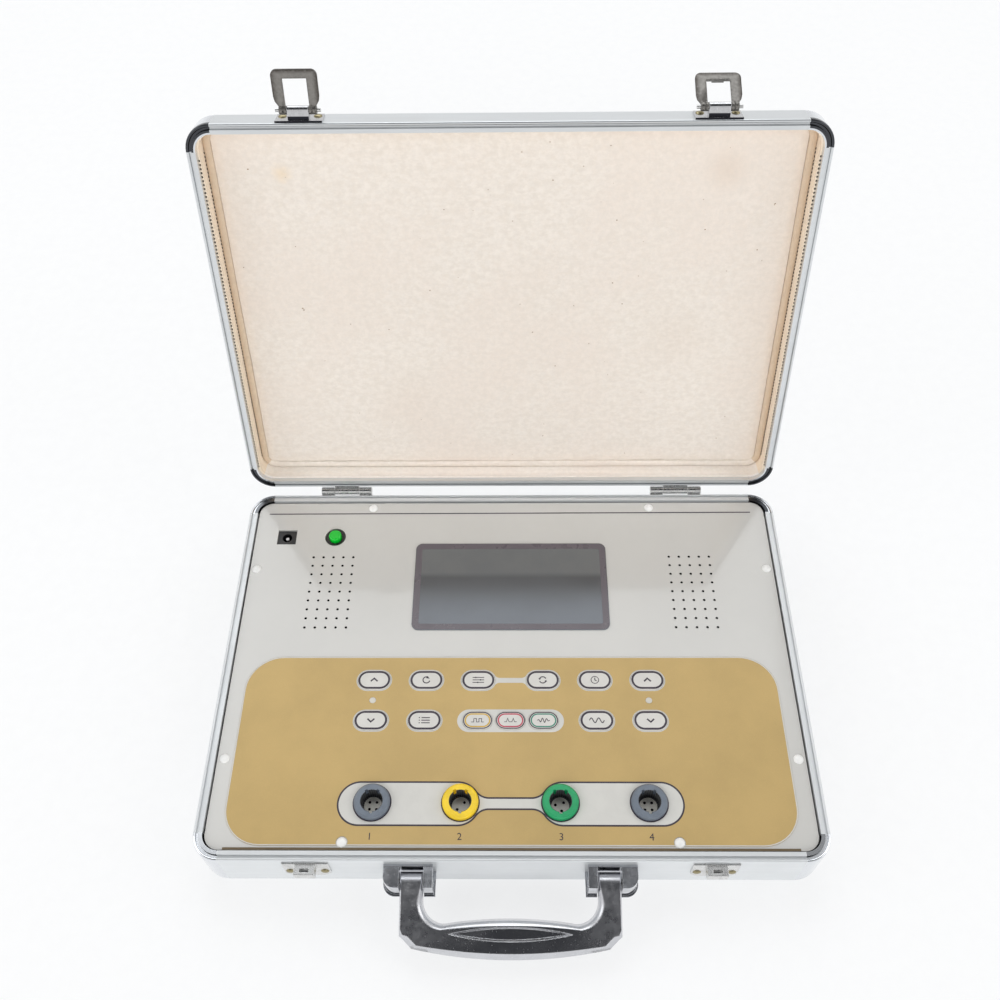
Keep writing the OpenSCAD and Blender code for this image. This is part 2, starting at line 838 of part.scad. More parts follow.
// Posts under the main board, and posts that hang the key board from the panel
module board_standoffs() {
    key_post_l = panel_under - key_board_z - board_t;
    color("khaki") at_main_fixings() translate([0, 0, skin_t]) difference() {
        cylinder(r = standoff_r, h = standoff_h);
        translate([0, 0, 1]) cylinder(r = board_screw_r + run_gap, h = standoff_h);
    }
    color("khaki") at_key_fixings() translate([0, 0, key_board_z + board_t]) difference() {
        cylinder(r = key_post_r, h = key_post_l);
        translate([0, 0, -1]) cylinder(r = board_screw_r + run_gap, h = key_post_l);
    }
}

module board_screws() {
    shank = board_t + standoff_h - 2;
    key_shank = board_t + 4;
    color("silver") at_main_fixings() translate([0, 0, main_board_z + board_t]) {
        cylinder(r = board_head_r, h = board_head_h);
        translate([0, 0, -shank]) cylinder(r = board_screw_r, h = shank + eps);
    }
    color("silver") at_key_fixings() translate([0, 0, key_board_z - board_head_h]) {
        cylinder(r = board_head_r, h = board_head_h);
        cylinder(r = board_screw_r, h = board_head_h + key_shank);
    }
}

// Leaf drawn for the base, with its knuckles at the given places along X: [start, length]
module hinge_leaf(knuckles) {
    translate([-hinge_l / 2, half_d, hinge_z - leaf_clear - leaf_h]) cube([hinge_l, leaf_t, leaf_h]);
    for (k = knuckles) translate([k[0], 0, 0]) difference() {
        union() {
            translate([k[1] / 2, hinge_y, hinge_z]) x_cylinder(knuckle_r, k[1]);
            translate([0, half_d, hinge_z - leaf_clear - 1]) cube([k[1], hinge_out, leaf_clear]);
        }
        translate([k[1] / 2, hinge_y, hinge_z]) x_cylinder(hinge_pin_r + run_gap, k[1] + 1);
    }
}

function end_knuckle_l() = (hinge_l - hinge_mid_l) / 2 - knuckle_gap;

module hinge_base_leaves() {
    l = end_knuckle_l();
    color("silver") difference() {
        at_hinges() hinge_leaf([[-hinge_l / 2, l], [hinge_l / 2 - l, l]]);
        at_leaf_rivets(base_leaf_rivet_z) rivet_bore(leaf_t);
    }
}

module hinge_lid_leaves() {
    color("silver") lid_frame() difference() {
        at_hinges() translate([0, 0, 2 * hinge_z]) mirror([0, 0, 1]) {
            hinge_leaf([[-hinge_mid_l / 2, hinge_mid_l]]);
        }
        at_leaf_rivets(lid_leaf_rivet_z) rivet_bore(leaf_t);
    }
}

module hinge_pins() {
    color("dimgray") at_hinges() translate([0, hinge_y, hinge_z]) x_cylinder(hinge_pin_r, hinge_l);
}

// Rivet with its head on top at z = 0 and its shank down through a plate and the wall
module rivet(plate) {
    cylinder(r = rivet_r, h = rivet_lift);
    translate([0, 0, -plate - wall_t]) cylinder(r = rivet_shank_r, h = plate + wall_t + eps);
}

// Hole for a rivet's shank through the plate and the wall
module rivet_bore(plate) {
    translate([0, 0, -plate - wall_t - 1]) cylinder(r = rivet_shank_r + run_gap, h = plate + wall_t + 2);
}

// Places its child on the outer face of the plate at both rivets of both latches, its top outward
module at_latch_rivets(z) {
    at_latches() for (sx = [-1, 1]) translate([sx * rivet_x, -half_d - plate_t, z]) {
        rotate([90, 0, 0]) children();
    }
}

// Places its child on the outer face of both leaves' fixings, its top outward
module at_leaf_rivets(z) {
    at_hinges() for (sx = [-1, 1]) translate([sx * hinge_l / 3, half_d + leaf_t, z]) {
        rotate([-90, 0, 0]) children();
    }
}

// Keeper on the base: riveted plate and the block that the hasp's end bar drops behind
module catch_plates() {
    slot_w = 4.6;
    slot_d = 1.6;
    slot_h = 3;
    plate_cut = 3.5;
    color("silver") at_latches() difference() {
        union() {
            translate([0, -half_d, catch_plate_top]) rotate([90, 0, 0]) linear_extrude(plate_t) {
                polygon([[-plate_w / 2, 0], [plate_w / 2, 0], [plate_w / 2, -catch_plate_h + plate_cut],
                    [plate_w / 2 - plate_cut, -catch_plate_h], [-plate_w / 2 + plate_cut, -catch_plate_h],
                    [-plate_w / 2, -catch_plate_h + plate_cut]]);
            }
            translate([-strap_w / 2, -half_d - catch_out, catch_bottom]) cube([strap_w, catch_out - eps, catch_h]);
        }
        translate([-slot_w / 2, -half_d - catch_out + 1.4, catch_bottom + catch_h - slot_h]) {
            cube([slot_w, slot_d, slot_h + 1]);
        }
        for (sx = [-1, 1]) translate([sx * rivet_x, -half_d - plate_t, catch_rivet_z]) {
            rotate([90, 0, 0]) rivet_bore(plate_t);
        }
    }
}

module base_rivets() {
    color("darkkhaki") at_latch_rivets(catch_rivet_z) rivet(plate_t);
    color("darkkhaki") at_leaf_rivets(base_leaf_rivet_z) rivet(leaf_t);
}

// Outline of one bracket's footprint at the right, with its outer front corner rounded
module bracket_outline(grow) {
    x0 = bracket_in_x - grow;
    x1 = bracket_out_x + grow;
    out = bracket_out + grow;
    r = min(bracket_r + grow, out / 2);
    translate([x0, -half_d - out]) square([x1 - x0 - r, out]);
    translate([x0, -half_d - out + r]) square([x1 - x0, out - r]);
    translate([x1 - r, -half_d - out + r]) circle(r);
}

module handle_brackets() {
    slot_w = slot_in_gap + arm_w + slot_gap;
    color("silver") for (m = [0, 1]) mirror([m, 0, 0]) difference() {
        translate([0, 0, bracket_low]) {
            linear_extrude(bracket_h) bracket_outline(0);
            linear_extrude(foot_t) bracket_outline(foot_rim);
        }
        translate([arm_x - arm_w / 2 - slot_in_gap, -half_d - bracket_out - foot_rim - 1, bracket_low - 1]) {
            cube([slot_w, bracket_out + foot_rim + 1 - bracket_back_t, bracket_h + 2]);
        }
        translate([arm_x, pivot_y, pivot_h]) x_cylinder(handle_pin_r, 2 * (cheek_in + cheek_out + arm_w));
    }
}

// Radius of the arc over a chord of half-length c that rises by s
function arc_r(c, s) = (c * c + s * s) / (2 * s);

// Handle outline seen square on: pivots on the X axis, grip toward -Y
module handle_outline() {
    half = handle_w / 2;
    shoulder = handle_reach - bow - chamfer_v;
    past = handle_reach + 1;
    past_x = half - (past - shoulder) * chamfer_x / chamfer_v;
    bow_r = arc_r(half - chamfer_x, bow);
    dip_r = arc_r(grip_dip_x, grip_dip);
    open_end = grip_inner + grip_dip;
    difference() {
        intersection() {
            polygon([[-half, 0], [half, 0], [half, -shoulder], [past_x, -past], [-past_x, -past], [-half, -shoulder]]);
            translate([0, -handle_reach + bow_r]) circle(bow_r, $fn = 256);
        }
        difference() {
            translate([0, -open_end + inner_r]) {
                square([handle_w - 2 * arm_w - 2 * inner_r, 2 * inner_r], center = true);
                translate([0, inner_r]) square([handle_w - 2 * arm_w, 2 * inner_r], center = true);
                for (sx = [-1, 1]) translate([sx * (half - arm_w - inner_r), 0]) circle(inner_r);
            }
            translate([0, -grip_inner - dip_r]) circle(dip_r, $fn = 256);
        }
    }
}

// Triangle that a bevel takes off the top edge of a face at x = 0
module bevel_cut(bevel) {
    top = handle_t / 2;
    polygon([[-bevel - 1, top + 1], [bevel, top + 1], [bevel, top - 2 * bevel]]);
}

// Bevels along the bowed front edge and the two corner chamfers
module handle_bevels() {
    half = handle_w / 2;
    shoulder = handle_reach - bow - chamfer_v;
    bow_r = arc_r(half - chamfer_x, bow);
    translate([0, -handle_reach + bow_r, 0]) rotate_extrude($fn = 256) {
        translate([bow_r, 0]) bevel_cut(handle_bevel);
    }
    for (m = [0, 1]) mirror([m, 0, 0]) translate([half, -shoulder, 0]) {
        rotate([0, 0, atan2(-chamfer_x, chamfer_v)]) rotate([90, 0, 0]) {
            linear_extrude(4 * chamfer_v, center = true) bevel_cut(handle_bevel - 0.3);
        }
    }
}

module handle() {
    lens_arc = arc_r(lens_half, lens_half_d);
    color("slategray") translate([0, pivot_y, pivot_h]) rotate([handle_droop, 0, 0]) difference() {
        union() {
            linear_extrude(handle_t, center = true) handle_outline();
            for (sx = [-1, 1]) translate([sx * arm_x, 0, 0]) x_cylinder(hub_r, arm_w);
        }
        for (sx = [-1, 1]) translate([sx * arm_x, 0, 0]) x_cylinder(handle_pin_r + run_gap, arm_w + 1);
        handle_bevels();
        translate([0, -lens_v, handle_t / 2 - lens_cut]) linear_extrude(lens_cut + 1) intersection() {
            translate([0, lens_arc - lens_half_d]) circle(lens_arc, $fn = 256);
            translate([0, lens_half_d - lens_arc]) circle(lens_arc, $fn = 256);
        }
    }
}

module handle_pins() {
    pin_l = bracket_out_x - bracket_in_x - 1;
    color("dimgray") for (sx = [-1, 1]) {
        translate([sx * (bracket_in_x + bracket_out_x) / 2, pivot_y, pivot_h]) x_cylinder(handle_pin_r, pin_l);
    }
}

module lid_walls() {
    color("gainsboro") lid_frame() difference() {
        translate([0, 0, lid_top_z]) mirror([0, 0, 1]) straight_walls(lid_h);
        at_latch_rivets(latch_rivet_z) rivet_bore(plate_t);
        at_leaf_rivets(lid_leaf_rivet_z) rivet_bore(leaf_t);
    }
}

module lid_corners() {
    color("silver") lid_shell() corner_pieces(lid_h);
}

module lid_corner_blocks() {
    color("dimgray") lid_shell() corner_blocks(lid_h, rim_h);
}

module lid_skin() {
    color("gray") lid_shell() skin_sheet();
}

// Flat ring between two insets from the outer face
module lid_ring(outer, inner, z, h) {
    translate([0, 0, z]) linear_extrude(h) difference() {
        round_rect(case_w - 2 * outer, case_d - 2 * outer, corner_r - outer);
        round_rect(case_w - 2 * inner, case_d - 2 * inner, max(corner_r - inner, 1));
    }
}

module lid_side_lining() {
    outer = side_lining_in - side_lining_t;
    h = lid_h - rim_h - flange_z - seat_gap;
    color("linen") lid_shell() lid_ring(outer, side_lining_in, flange_z, h);
}

module lid_trim() {
    color("bisque") lid_shell() {
        lid_ring(side_lining_in + seat_gap, side_lining_in + seat_gap + trim_w, flange_z, lining_t);
    }
}

// Suede-covered board that closes the lid
module lid_lining() {
    color("antiquewhite") lid_shell() translate([0, 0, flange_z]) linear_extrude(lining_t) {
        round_rect(case_w - 2 * lining_in, case_d - 2 * lining_in, max(corner_r - lining_in, 1));
    }
}

// Plate on the lid's front wall with the strap that carries the hasp's pin
module latch_plates() {
    color("silver") lid_frame() at_latches() difference() {
        union() {
            translate([-plate_w / 2, -half_d - plate_t, lid_rim_z + plate_low]) cube([plate_w, plate_t, plate_h]);
            translate([-strap_w / 2, hasp_y, hasp_z - strap_r]) cube([strap_w, hasp_off - eps, 2 * strap_r]);
            translate([0, hasp_y, hasp_z]) x_cylinder(strap_r, strap_w);
        }
        translate([0, hasp_y, hasp_z]) x_cylinder(hasp_pin_r, strap_w + 1);
        for (sx = [-1, 1]) translate([sx * rivet_x, -half_d - plate_t, latch_rivet_z]) {
            rotate([90, 0, 0]) rivet_bore(plate_t);
        }
    }
}

module lid_rivets() {
    color("darkkhaki") lid_frame() at_latch_rivets(latch_rivet_z) rivet(plate_t);
    color("darkkhaki") lid_frame() at_leaf_rivets(lid_leaf_rivet_z) rivet(leaf_t);
}

// Hasp: open frame on two ears, leaning back from square by the given angle
module hasp(lean) {
    corner = 3;
    ear_r = 2.1;
    tab_r = 3;
    tab_h = 0.9;
    ear_x = (strap_w / 2 + side_gap + hasp_w / 2) / 2;
    ear_l = hasp_w / 2 - strap_w / 2 - side_gap;
    lid_frame() translate([0, hasp_y, hasp_z]) rotate([-lean, 0, 0]) difference() {
        union() {
            linear_extrude(hasp_t, center = true) difference() {
                union() {
                    translate([-hasp_w / 2, -hasp_l + corner]) square([hasp_w, hasp_l - corner]);
                    translate([-hasp_w / 2 + corner, -hasp_l]) square([hasp_w - 2 * corner, corner + eps]);
                    for (sx = [-1, 1]) translate([sx * (hasp_w / 2 - corner), -hasp_l + corner]) circle(corner);
                }
                translate([-hasp_window_w / 2, -hasp_window_end]) square([hasp_window_w, hasp_window_end + 1]);
            }
            for (sx = [-1, 1]) translate([sx * ear_x, 0, 0]) x_cylinder(ear_r, ear_l);
            translate([0, -hasp_window_end - hasp_end / 2, hasp_t / 2 - eps]) linear_extrude(tab_h) intersection() {
                translate([0, hasp_end / 2]) circle(tab_r);
                translate([-tab_r, -hasp_end / 2 + 0.6]) square([2 * tab_r, hasp_end - 0.6]);
            }
        }
        x_cylinder(hasp_pin_r + run_gap, hasp_w + 1);
    }
}

module hasp_left() {
    color("gray") translate([-latch_x, 0, 0]) hasp(0);
}

module hasp_right() {
    color("gray") translate([latch_x, 0, 0]) hasp(hasp_lean);
}

module hasp_pins() {
    color("dimgray") lid_frame() at_latches() translate([0, hasp_y, hasp_z]) x_cylinder(hasp_pin_r, hasp_w);
}

base_walls();
base_corners();
base_corner_blocks();
floor_panel();
panel_plate();
keypad_film();
panel_posts();
panel_screws();
lcd_lens();
lcd_module();
out1_socket();
out2_socket();
out3_socket();
out4_socket();
socket_inserts();
socket_nuts();
power_switch_body();
power_button();
dc_inlet_body();
dc_inlet_pin();
key_top_1();
key_top_2();
key_top_3();
key_top_4();
key_top_5();
key_top_6();
key_low_1();
key_low_2();
key_low_3();
key_low_4();
key_yellow();
key_red();
key_green();
key_board();
status_leds();
speaker();
main_board();
output_transformers();
board_standoffs();
board_screws();
hinge_base_leaves();
hinge_lid_leaves();
hinge_pins();
catch_plates();
base_rivets();
handle_brackets();
handle();
handle_pins();
lid_walls();
lid_corners();
lid_corner_blocks();
lid_skin();
lid_side_lining();
lid_trim();
lid_lining();
latch_plates();
lid_rivets();
hasp_left();
hasp_right();
hasp_pins();
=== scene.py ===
"""Looks for an open case-built nerve stimulator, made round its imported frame."""

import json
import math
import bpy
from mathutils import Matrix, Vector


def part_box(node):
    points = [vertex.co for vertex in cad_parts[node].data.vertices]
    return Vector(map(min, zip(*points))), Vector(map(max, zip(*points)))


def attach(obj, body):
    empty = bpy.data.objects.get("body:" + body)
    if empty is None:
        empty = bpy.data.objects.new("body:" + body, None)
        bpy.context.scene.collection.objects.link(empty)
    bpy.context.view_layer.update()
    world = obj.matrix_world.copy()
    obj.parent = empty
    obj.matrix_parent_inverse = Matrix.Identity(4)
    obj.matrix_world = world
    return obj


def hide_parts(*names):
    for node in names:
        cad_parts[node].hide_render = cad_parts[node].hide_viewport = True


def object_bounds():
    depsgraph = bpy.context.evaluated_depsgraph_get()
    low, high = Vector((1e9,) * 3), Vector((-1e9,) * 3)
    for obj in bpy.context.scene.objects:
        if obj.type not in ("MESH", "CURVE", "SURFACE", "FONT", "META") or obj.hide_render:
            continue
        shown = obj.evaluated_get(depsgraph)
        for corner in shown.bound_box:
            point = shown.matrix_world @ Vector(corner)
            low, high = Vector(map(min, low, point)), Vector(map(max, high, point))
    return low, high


bl_info = {
    "name": "Case stimulator looks",
    "version": (1, 0, 0),
    "blender": (4, 5, 0),
    "location": "3D View > Sidebar > Case unit",
    "description": "Finishes, lining, handle, prints and stage for an open case-built stimulator",
    "category": "Object",
}

import bmesh
import bpy
from bpy.props import FloatProperty, FloatVectorProperty, IntProperty, PointerProperty
from mathutils import Matrix, Vector
from mathutils.geometry import delaunay_2d_cdt

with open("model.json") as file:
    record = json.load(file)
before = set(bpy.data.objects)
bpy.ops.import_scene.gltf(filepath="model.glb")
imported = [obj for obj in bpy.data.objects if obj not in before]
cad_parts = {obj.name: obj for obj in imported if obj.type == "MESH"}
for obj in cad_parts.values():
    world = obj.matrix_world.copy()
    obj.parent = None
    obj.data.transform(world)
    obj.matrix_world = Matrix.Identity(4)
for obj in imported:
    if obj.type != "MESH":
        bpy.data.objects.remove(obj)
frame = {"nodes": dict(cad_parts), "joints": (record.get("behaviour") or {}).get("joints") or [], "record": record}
CAD_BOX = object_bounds()
NODES = frame["nodes"]
BODY_OF = {n: b for b, ns in frame["record"]["behaviour"]["bodies"].items() for n in ns}
JOINT = {j["name"]: j for j in frame["joints"]}
MM = 0.001
WELD = 0.003 * MM
FINISHES = {}


def tone(red, green, blue):
    """A colour given in screen values, as the linear colour a shader wants."""
    return tuple(
        c / 255 / 12.92 if c <= 10 else ((c / 255 + 0.055) / 1.055) ** 2.4 for c in (red, green, blue)
    )


def scaled(colour, *by):
    """A colour times one factor, or one for each channel, and no brighter than white."""
    factors = by if len(by) == 3 else by * 3
    return tuple(min(1.0, c * k) for c, k in zip(colour, factors))


def shade(name, colour, note):
    """A colour property with its default."""
    return FloatVectorProperty(
        name=name, description=note, subtype="COLOR", size=3, min=0, max=1, default=tone(*colour)
    )


def amount(name, value, note, **more):
    """A number property with its default."""
    return FloatProperty(name=name, description=note, default=value, **more)


def length(name, value, note):
    """A length property in metres, given in millimetres."""
    return amount(name, value * MM, note, unit="LENGTH", precision=5)


class MetalLooks(bpy.types.PropertyGroup):
    """Colours of the bare metal and of the plastics round it"""

    aluminium: shade("Aluminium", (221, 224, 226), "Anodised wall profile")
    corner: shade("Corner", (226, 229, 233), "Polished corner pieces")
    skin: shade("Outer skin", (176, 180, 184), "Laminate on the lid and the underside")
    black: shade("Black plastic", (26, 26, 28), "Switch body and inlet")
    band: shade("Band", (74, 76, 80), "Dark parts of the corner pieces and their blocks")
    hasp: shade("Hasp", (143, 140, 136), "Worn steel of the hasps")
    latch: shade("Latch", (205, 205, 207), "Plates and straps of the latches")
    tarnish: shade("Tarnish", (84, 79, 75), "Dark edges of the hasps")
    # Painted reflection: the dark colour on the latch faces that look out of the open lid.
    strap: shade("Strap", (46, 46, 52), "Tarnish on the rim side of the latches")
    nickel: shade("Nickel", (220, 220, 219), "Hinges, catches and pins")
    bracket: shade("Bracket", (205, 207, 212), "Plated handle brackets")
    handle: shade("Handle", (206, 207, 211), "Worn plated handle")
    brass: shade("Rivet", (160, 150, 118), "Rivet heads")
    handle_shoulder: length("Handle shoulder", 3.4, "Rounding along the inside of the grip")
    soft_edge: length("Soft edge", 0.45, "Rounding on stamped and cast pieces")
    wear: amount("Wear", 0.55, "Strength of rubbed edges", min=0, max=1)


class PanelLooks(bpy.types.PropertyGroup):
    """Colours and print sizes of the control panel"""

    panel: shade("Panel", (202, 201, 197), "Glossy panel plate")
    gold: shade("Gold film", (197, 169, 112), "Keypad film")
    pale: shade("Pale print", (213, 212, 207), "Halos and pads printed on the film")
    # This dark colour also paints the shadow rings round the output collars.
    dark: shade("Dark print", (58, 50, 62), "Rings, outlines and icons")
    key: shade("Key", (217, 215, 210), "Key caps")
    yellow: shade("Yellow", (250, 213, 30), "Second output")
    green: shade("Green", (0, 161, 98), "Third output")
    grey: shade("Grey", (108, 118, 131), "First and fourth outputs")
    cap: shade("Power cap", (0, 200, 48), "Power button")
    border: shade("Display border", (90, 82, 90), "Printed border of the display")
    glass: shade("Display glass", (84, 87, 92), "Display when off")
    ring: length("Ring", 1.15, "Width of the dark ring on a key")
    halo: length("Halo", 0.65, "Pale edge printed round a key")
    outline: length("Outline", 0.9, "Dark line round the output pad")
    lens_border: length("Lens border", 3.9, "Width of the printed display border")


class LiningLooks(bpy.types.PropertyGroup):
    """Colours and form of the lid's suede lining"""

    suede: shade("Suede", (236, 228, 219), "Board covering")
    trim: shade("Trim", (252, 237, 216), "Side walls")
    tan: shade("Tan", (216, 198, 176), "Strip beside the board")
    # Painted light: a lighter copy of the side walls' suede for the walls at the hinge and the front.
    pale: shade("Pale", (253, 247, 240), "Walls at the hinge and the front")
    thread: shade("Thread", (62, 54, 48), "Dark thread along the side seams")
    stitch: length("Stitch", 2.1, "Step from stitch to stitch")
    stain: shade("Stain", (232, 200, 146), "Old glue mark")
    puff: length("Puff", 0.5, "How far the covering stands off its board")
    sag: length("Unevenness", 0.35, "Depth of the soft hollows")
    specks: IntProperty(name="Specks", description="Flecks caught in the nap", default=64, min=0)
    seed: IntProperty(name="Seed", description="Where the flecks fall", default=7)


class StageLooks(bpy.types.PropertyGroup):
    """Camera, floor and lights"""

    camera_at: FloatVectorProperty(
        name="Camera", description="Camera position", subtype="XYZ", unit="LENGTH",
        default=(0.00325, -0.27127, 0.56401), precision=5,
    )
    pitch: amount("Pitch", 54.183, "Downward tilt in degrees")
    yaw: amount("Yaw", -1.498, "Turn in degrees")
    roll: amount("Roll", -1.358, "Lean in degrees")
    lens: amount("Lens", 37.469, "Focal length in millimetres")
    floor: shade("Floor", (246, 247, 248), "Seamless floor")
    glow: amount("Glow", 0.72, "Light that the floor sheet gives off itself")
    ambient: amount("Ambient", 0.82, "Strength of the room light")
    softbox: amount("Softbox", 7, "Power of the large back light", unit="POWER")
    fill: amount("Fill", 3, "Power of the two side lights", unit="POWER")
    hinge: amount("Hinge", 0.012, "Power of the small light over the hinges", unit="POWER")
    front: amount("Front", 13, "Power of the low front light", unit="POWER")


class Wiring:
    """Shorthand for adding and joining shader nodes in one tree."""

    def __init__(self, tree):
        self.tree = tree

    def add(self, kind, inputs=None, **props):
        node = self.tree.nodes.new("ShaderNode" + kind)
        for key, value in props.items():
            setattr(node, key, value)
        for key, value in (inputs or {}).items():
            self.feed(value, node.inputs[key])
        return node

    def feed(self, value, socket):
        if isinstance(value, bpy.types.NodeSocket):
            self.tree.links.new(value, socket)
        else:
            socket.default_value = value

    def math(self, operation, a, b=0.0, clamp=False):
        return self.add("Math", {0: a, 1: b}, operation=operation, use_clamp=clamp).outputs[0]

    def remap(self, value, low, high, to_low=0.0, to_high=1.0):
        inputs = {"Value": value, "From Min": low, "From Max": high, "To Min": to_low, "To Max": to_high}
        return self.add("MapRange", inputs, interpolation_type="SMOOTHSTEP").outputs[0]

    def mix(self, factor, a, b):
        pair = [v if isinstance(v, bpy.types.NodeSocket) else (*v[:3], 1.0) for v in (a, b)]
        return self.add("Mix", {0: factor, 6: pair[0], 7: pair[1]}, data_type="RGBA").outputs[2]

    def place(self):
        return self.add("TexCoord").outputs["Object"]

    def stretched(self, vector, scale, turn=(0, 0, 0)):
        return self.add("Mapping", {"Vector": vector, "Scale": scale, "Rotation": turn}).outputs[0]

    def noise(self, vector, scale, detail=2.0, rough=0.5):
        inputs = {"Vector": vector, "Scale": scale, "Detail": detail, "Roughness": rough}
        return self.add("TexNoise", inputs).outputs["Fac"]

    def group(self, name, inputs):
        node = self.tree.nodes.new("ShaderNodeGroup")
        node.node_tree = bpy.data.node_groups[name]
        for key, value in inputs.items():
            self.feed(value, node.inputs[key])
        return node.outputs

    def grain(self, place, tooth, patch, streak=(40, 40, 40)):
        inputs = {"Vector": place, "Tooth": tooth, "Patch": patch, "Streak": streak}
        return self.group("Skin grain", inputs)

    def rounded(self, radius):
        return self.add("Bevel", {"Radius": radius}, samples=4).outputs[0]

    def axes(self):
        return self.add("SeparateXYZ", {0: self.place()}).outputs

    def vector(self, operation, a, b):
        return self.add("VectorMath", {0: a, 1: b}, operation=operation).outputs

    def offset(self, at):
        return self.vector("SUBTRACT", self.place(), at)[0]

    def along(self, vector, way):
        return self.vector("DOT_PRODUCT", vector, way)["Value"]

    def hypot(self, a, b):
        squares = [self.math("POWER", side, 2.0) for side in (a, b)]
        return self.math("SQRT", self.math("ADD", *squares))

    def bump(self, strength, depth, height, normal=None, invert=False):
        inputs = {"Strength": strength, "Distance": depth * MM, "Height": height}
        if normal is not None:
            inputs["Normal"] = normal
        return self.add("Bump", inputs, invert=invert)

    def drive(self, shader, base, rough, bump=None):
        self.feed(base, shader.inputs["Base Color"])
        self.feed(rough, shader.inputs["Roughness"])
        if bump:
            self.feed(bump.outputs[0], shader.inputs["Normal"])


def effect(name, inputs, outputs):
    """A new shader group: its wiring, its input and its output sockets."""
    tree = bpy.data.node_groups.new(name, "ShaderNodeTree")
    for label, kind, value in inputs:
        socket = tree.interface.new_socket(label, in_out="INPUT", socket_type="NodeSocket" + kind)
        if value is not None:
            socket.default_value = value
    for label, kind in outputs:
        tree.interface.new_socket(label, in_out="OUTPUT", socket_type="NodeSocket" + kind)
    wire = Wiring(tree)
    source = tree.nodes.new("NodeGroupInput").outputs
    sink = tree.nodes.new("NodeGroupOutput").inputs
    return wire, source, sink


def edge_wear_effect():
    """Where an edge is rubbed: the rounded normal leaves the flat one, broken up by noise."""
    w, src, out = effect(
        "Edge wear",
        [("Vector", "Vector", None), ("Reach", "Float", 0.0006), ("Breakup", "Float", 900.0)],
        [("Mask", "Float")],
    )
    rounded = w.rounded(src["Reach"])
    flat = w.add("NewGeometry").outputs["Normal"]
    bent = w.remap(w.along(rounded, flat), 0.995, 0.86)
    patchy = w.remap(w.noise(src["Vector"], src["Breakup"], 3.0), 0.36, 0.62)
    w.feed(w.math("MULTIPLY", bent, patchy), out["Mask"])


def grain_effect():
    """Fine tooth, broad patches and drawn streaks of a metal or plastic skin."""
    w, src, out = effect(
        "Skin grain",
        [("Vector", "Vector", None), ("Tooth", "Float", 4000.0), ("Patch", "Float", 60.0),
         ("Streak", "Vector", (40.0, 40.0, 40.0))],
        [("Tooth", "Float"), ("Patch", "Float"), ("Streak", "Float")],
    )
    w.feed(w.noise(src["Vector"], src["Tooth"], 2.0), out["Tooth"])
    w.feed(w.noise(src["Vector"], src["Patch"], 4.0, 0.6), out["Patch"])
    pulled = w.vector("MULTIPLY", src["Vector"], src["Streak"])[0]
    w.feed(w.noise(pulled, 1.0, 3.0, 0.65), out["Streak"])


def scuff_effect():
    """Short bright scratches and pin-prick specks on plated metal."""
    w, src, out = effect(
        "Scuffs",
        [("Vector", "Vector", None), ("Scale", "Float", 700.0), ("Amount", "Float", 0.5)],
        [("Lines", "Float"), ("Specks", "Float")],
    )
    bent = w.noise(src["Vector"], 160.0, 2.0)
    lines = []
    for turn in ((0.3, 0.1, 0.5), (0.2, 0.9, -0.7), (1.1, 0.4, 1.9)):
        pulled = w.stretched(src["Vector"], (1.0, 0.06, 0.06), turn)
        fine = w.noise(pulled, w.math("MULTIPLY", src["Scale"], 4.0), 1.0)
        lines.append(w.remap(fine, 0.70, 0.76))
    most = w.math("MAXIMUM", w.math("MAXIMUM", lines[0], lines[1]), lines[2])
    kept = w.math("MULTIPLY", most, w.remap(bent, 0.50, 0.62))
    w.feed(w.math("MULTIPLY", kept, src["Amount"]), out["Lines"])
    dots = w.add("TexVoronoi", {"Vector": src["Vector"], "Scale": src["Scale"]}, feature="F1")
    pick = w.math("GREATER_THAN", w.add("SeparateColor", {0: dots.outputs["Color"]}).outputs[0], 0.72)
    small = w.remap(dots.outputs["Distance"], 0.30, 0.16)
    w.feed(w.math("MULTIPLY", w.math("MULTIPLY", small, pick), src["Amount"]), out["Specks"])


def nap_effect():
    """Brushed nap of suede: fibre height, light and dark strokes, and blotches."""
    w, src, out = effect(
        "Suede nap",
        [("Vector", "Vector", None), ("Fibre", "Float", 2600.0), ("Stroke", "Float", 55.0)],
        [("Height", "Float"), ("Stroke", "Float"), ("Blotch", "Float")],
    )
    fibre = w.noise(src["Vector"], src["Fibre"], 4.0, 0.7)
    clump = w.noise(src["Vector"], w.math("MULTIPLY", src["Fibre"], 0.16), 3.0, 0.6)
    w.feed(w.math("ADD", w.math("MULTIPLY", fibre, 0.4), w.math("MULTIPLY", clump, 0.6)), out["Height"])
    bent = w.vector("MULTIPLY", src["Vector"], (1.0, 1.6, 1.6))[0]
    w.feed(w.noise(bent, src["Stroke"], 5.0, 0.62), out["Stroke"])
    w.feed(w.noise(src["Vector"], 14.0, 3.0, 0.55), out["Blotch"])


def new_finish(name, sockets):
    """A material with Principled sockets set: its wiring, its shader and its Object coordinates."""
    made = bpy.data.materials.new(name)
    made.use_nodes = True
    shader = made.node_tree.nodes["Principled BSDF"]
    for key, value in sockets.items():
        shader.inputs[key].default_value = value
    FINISHES[name] = made
    wire = Wiring(made.node_tree)
    return wire, shader, wire.place()


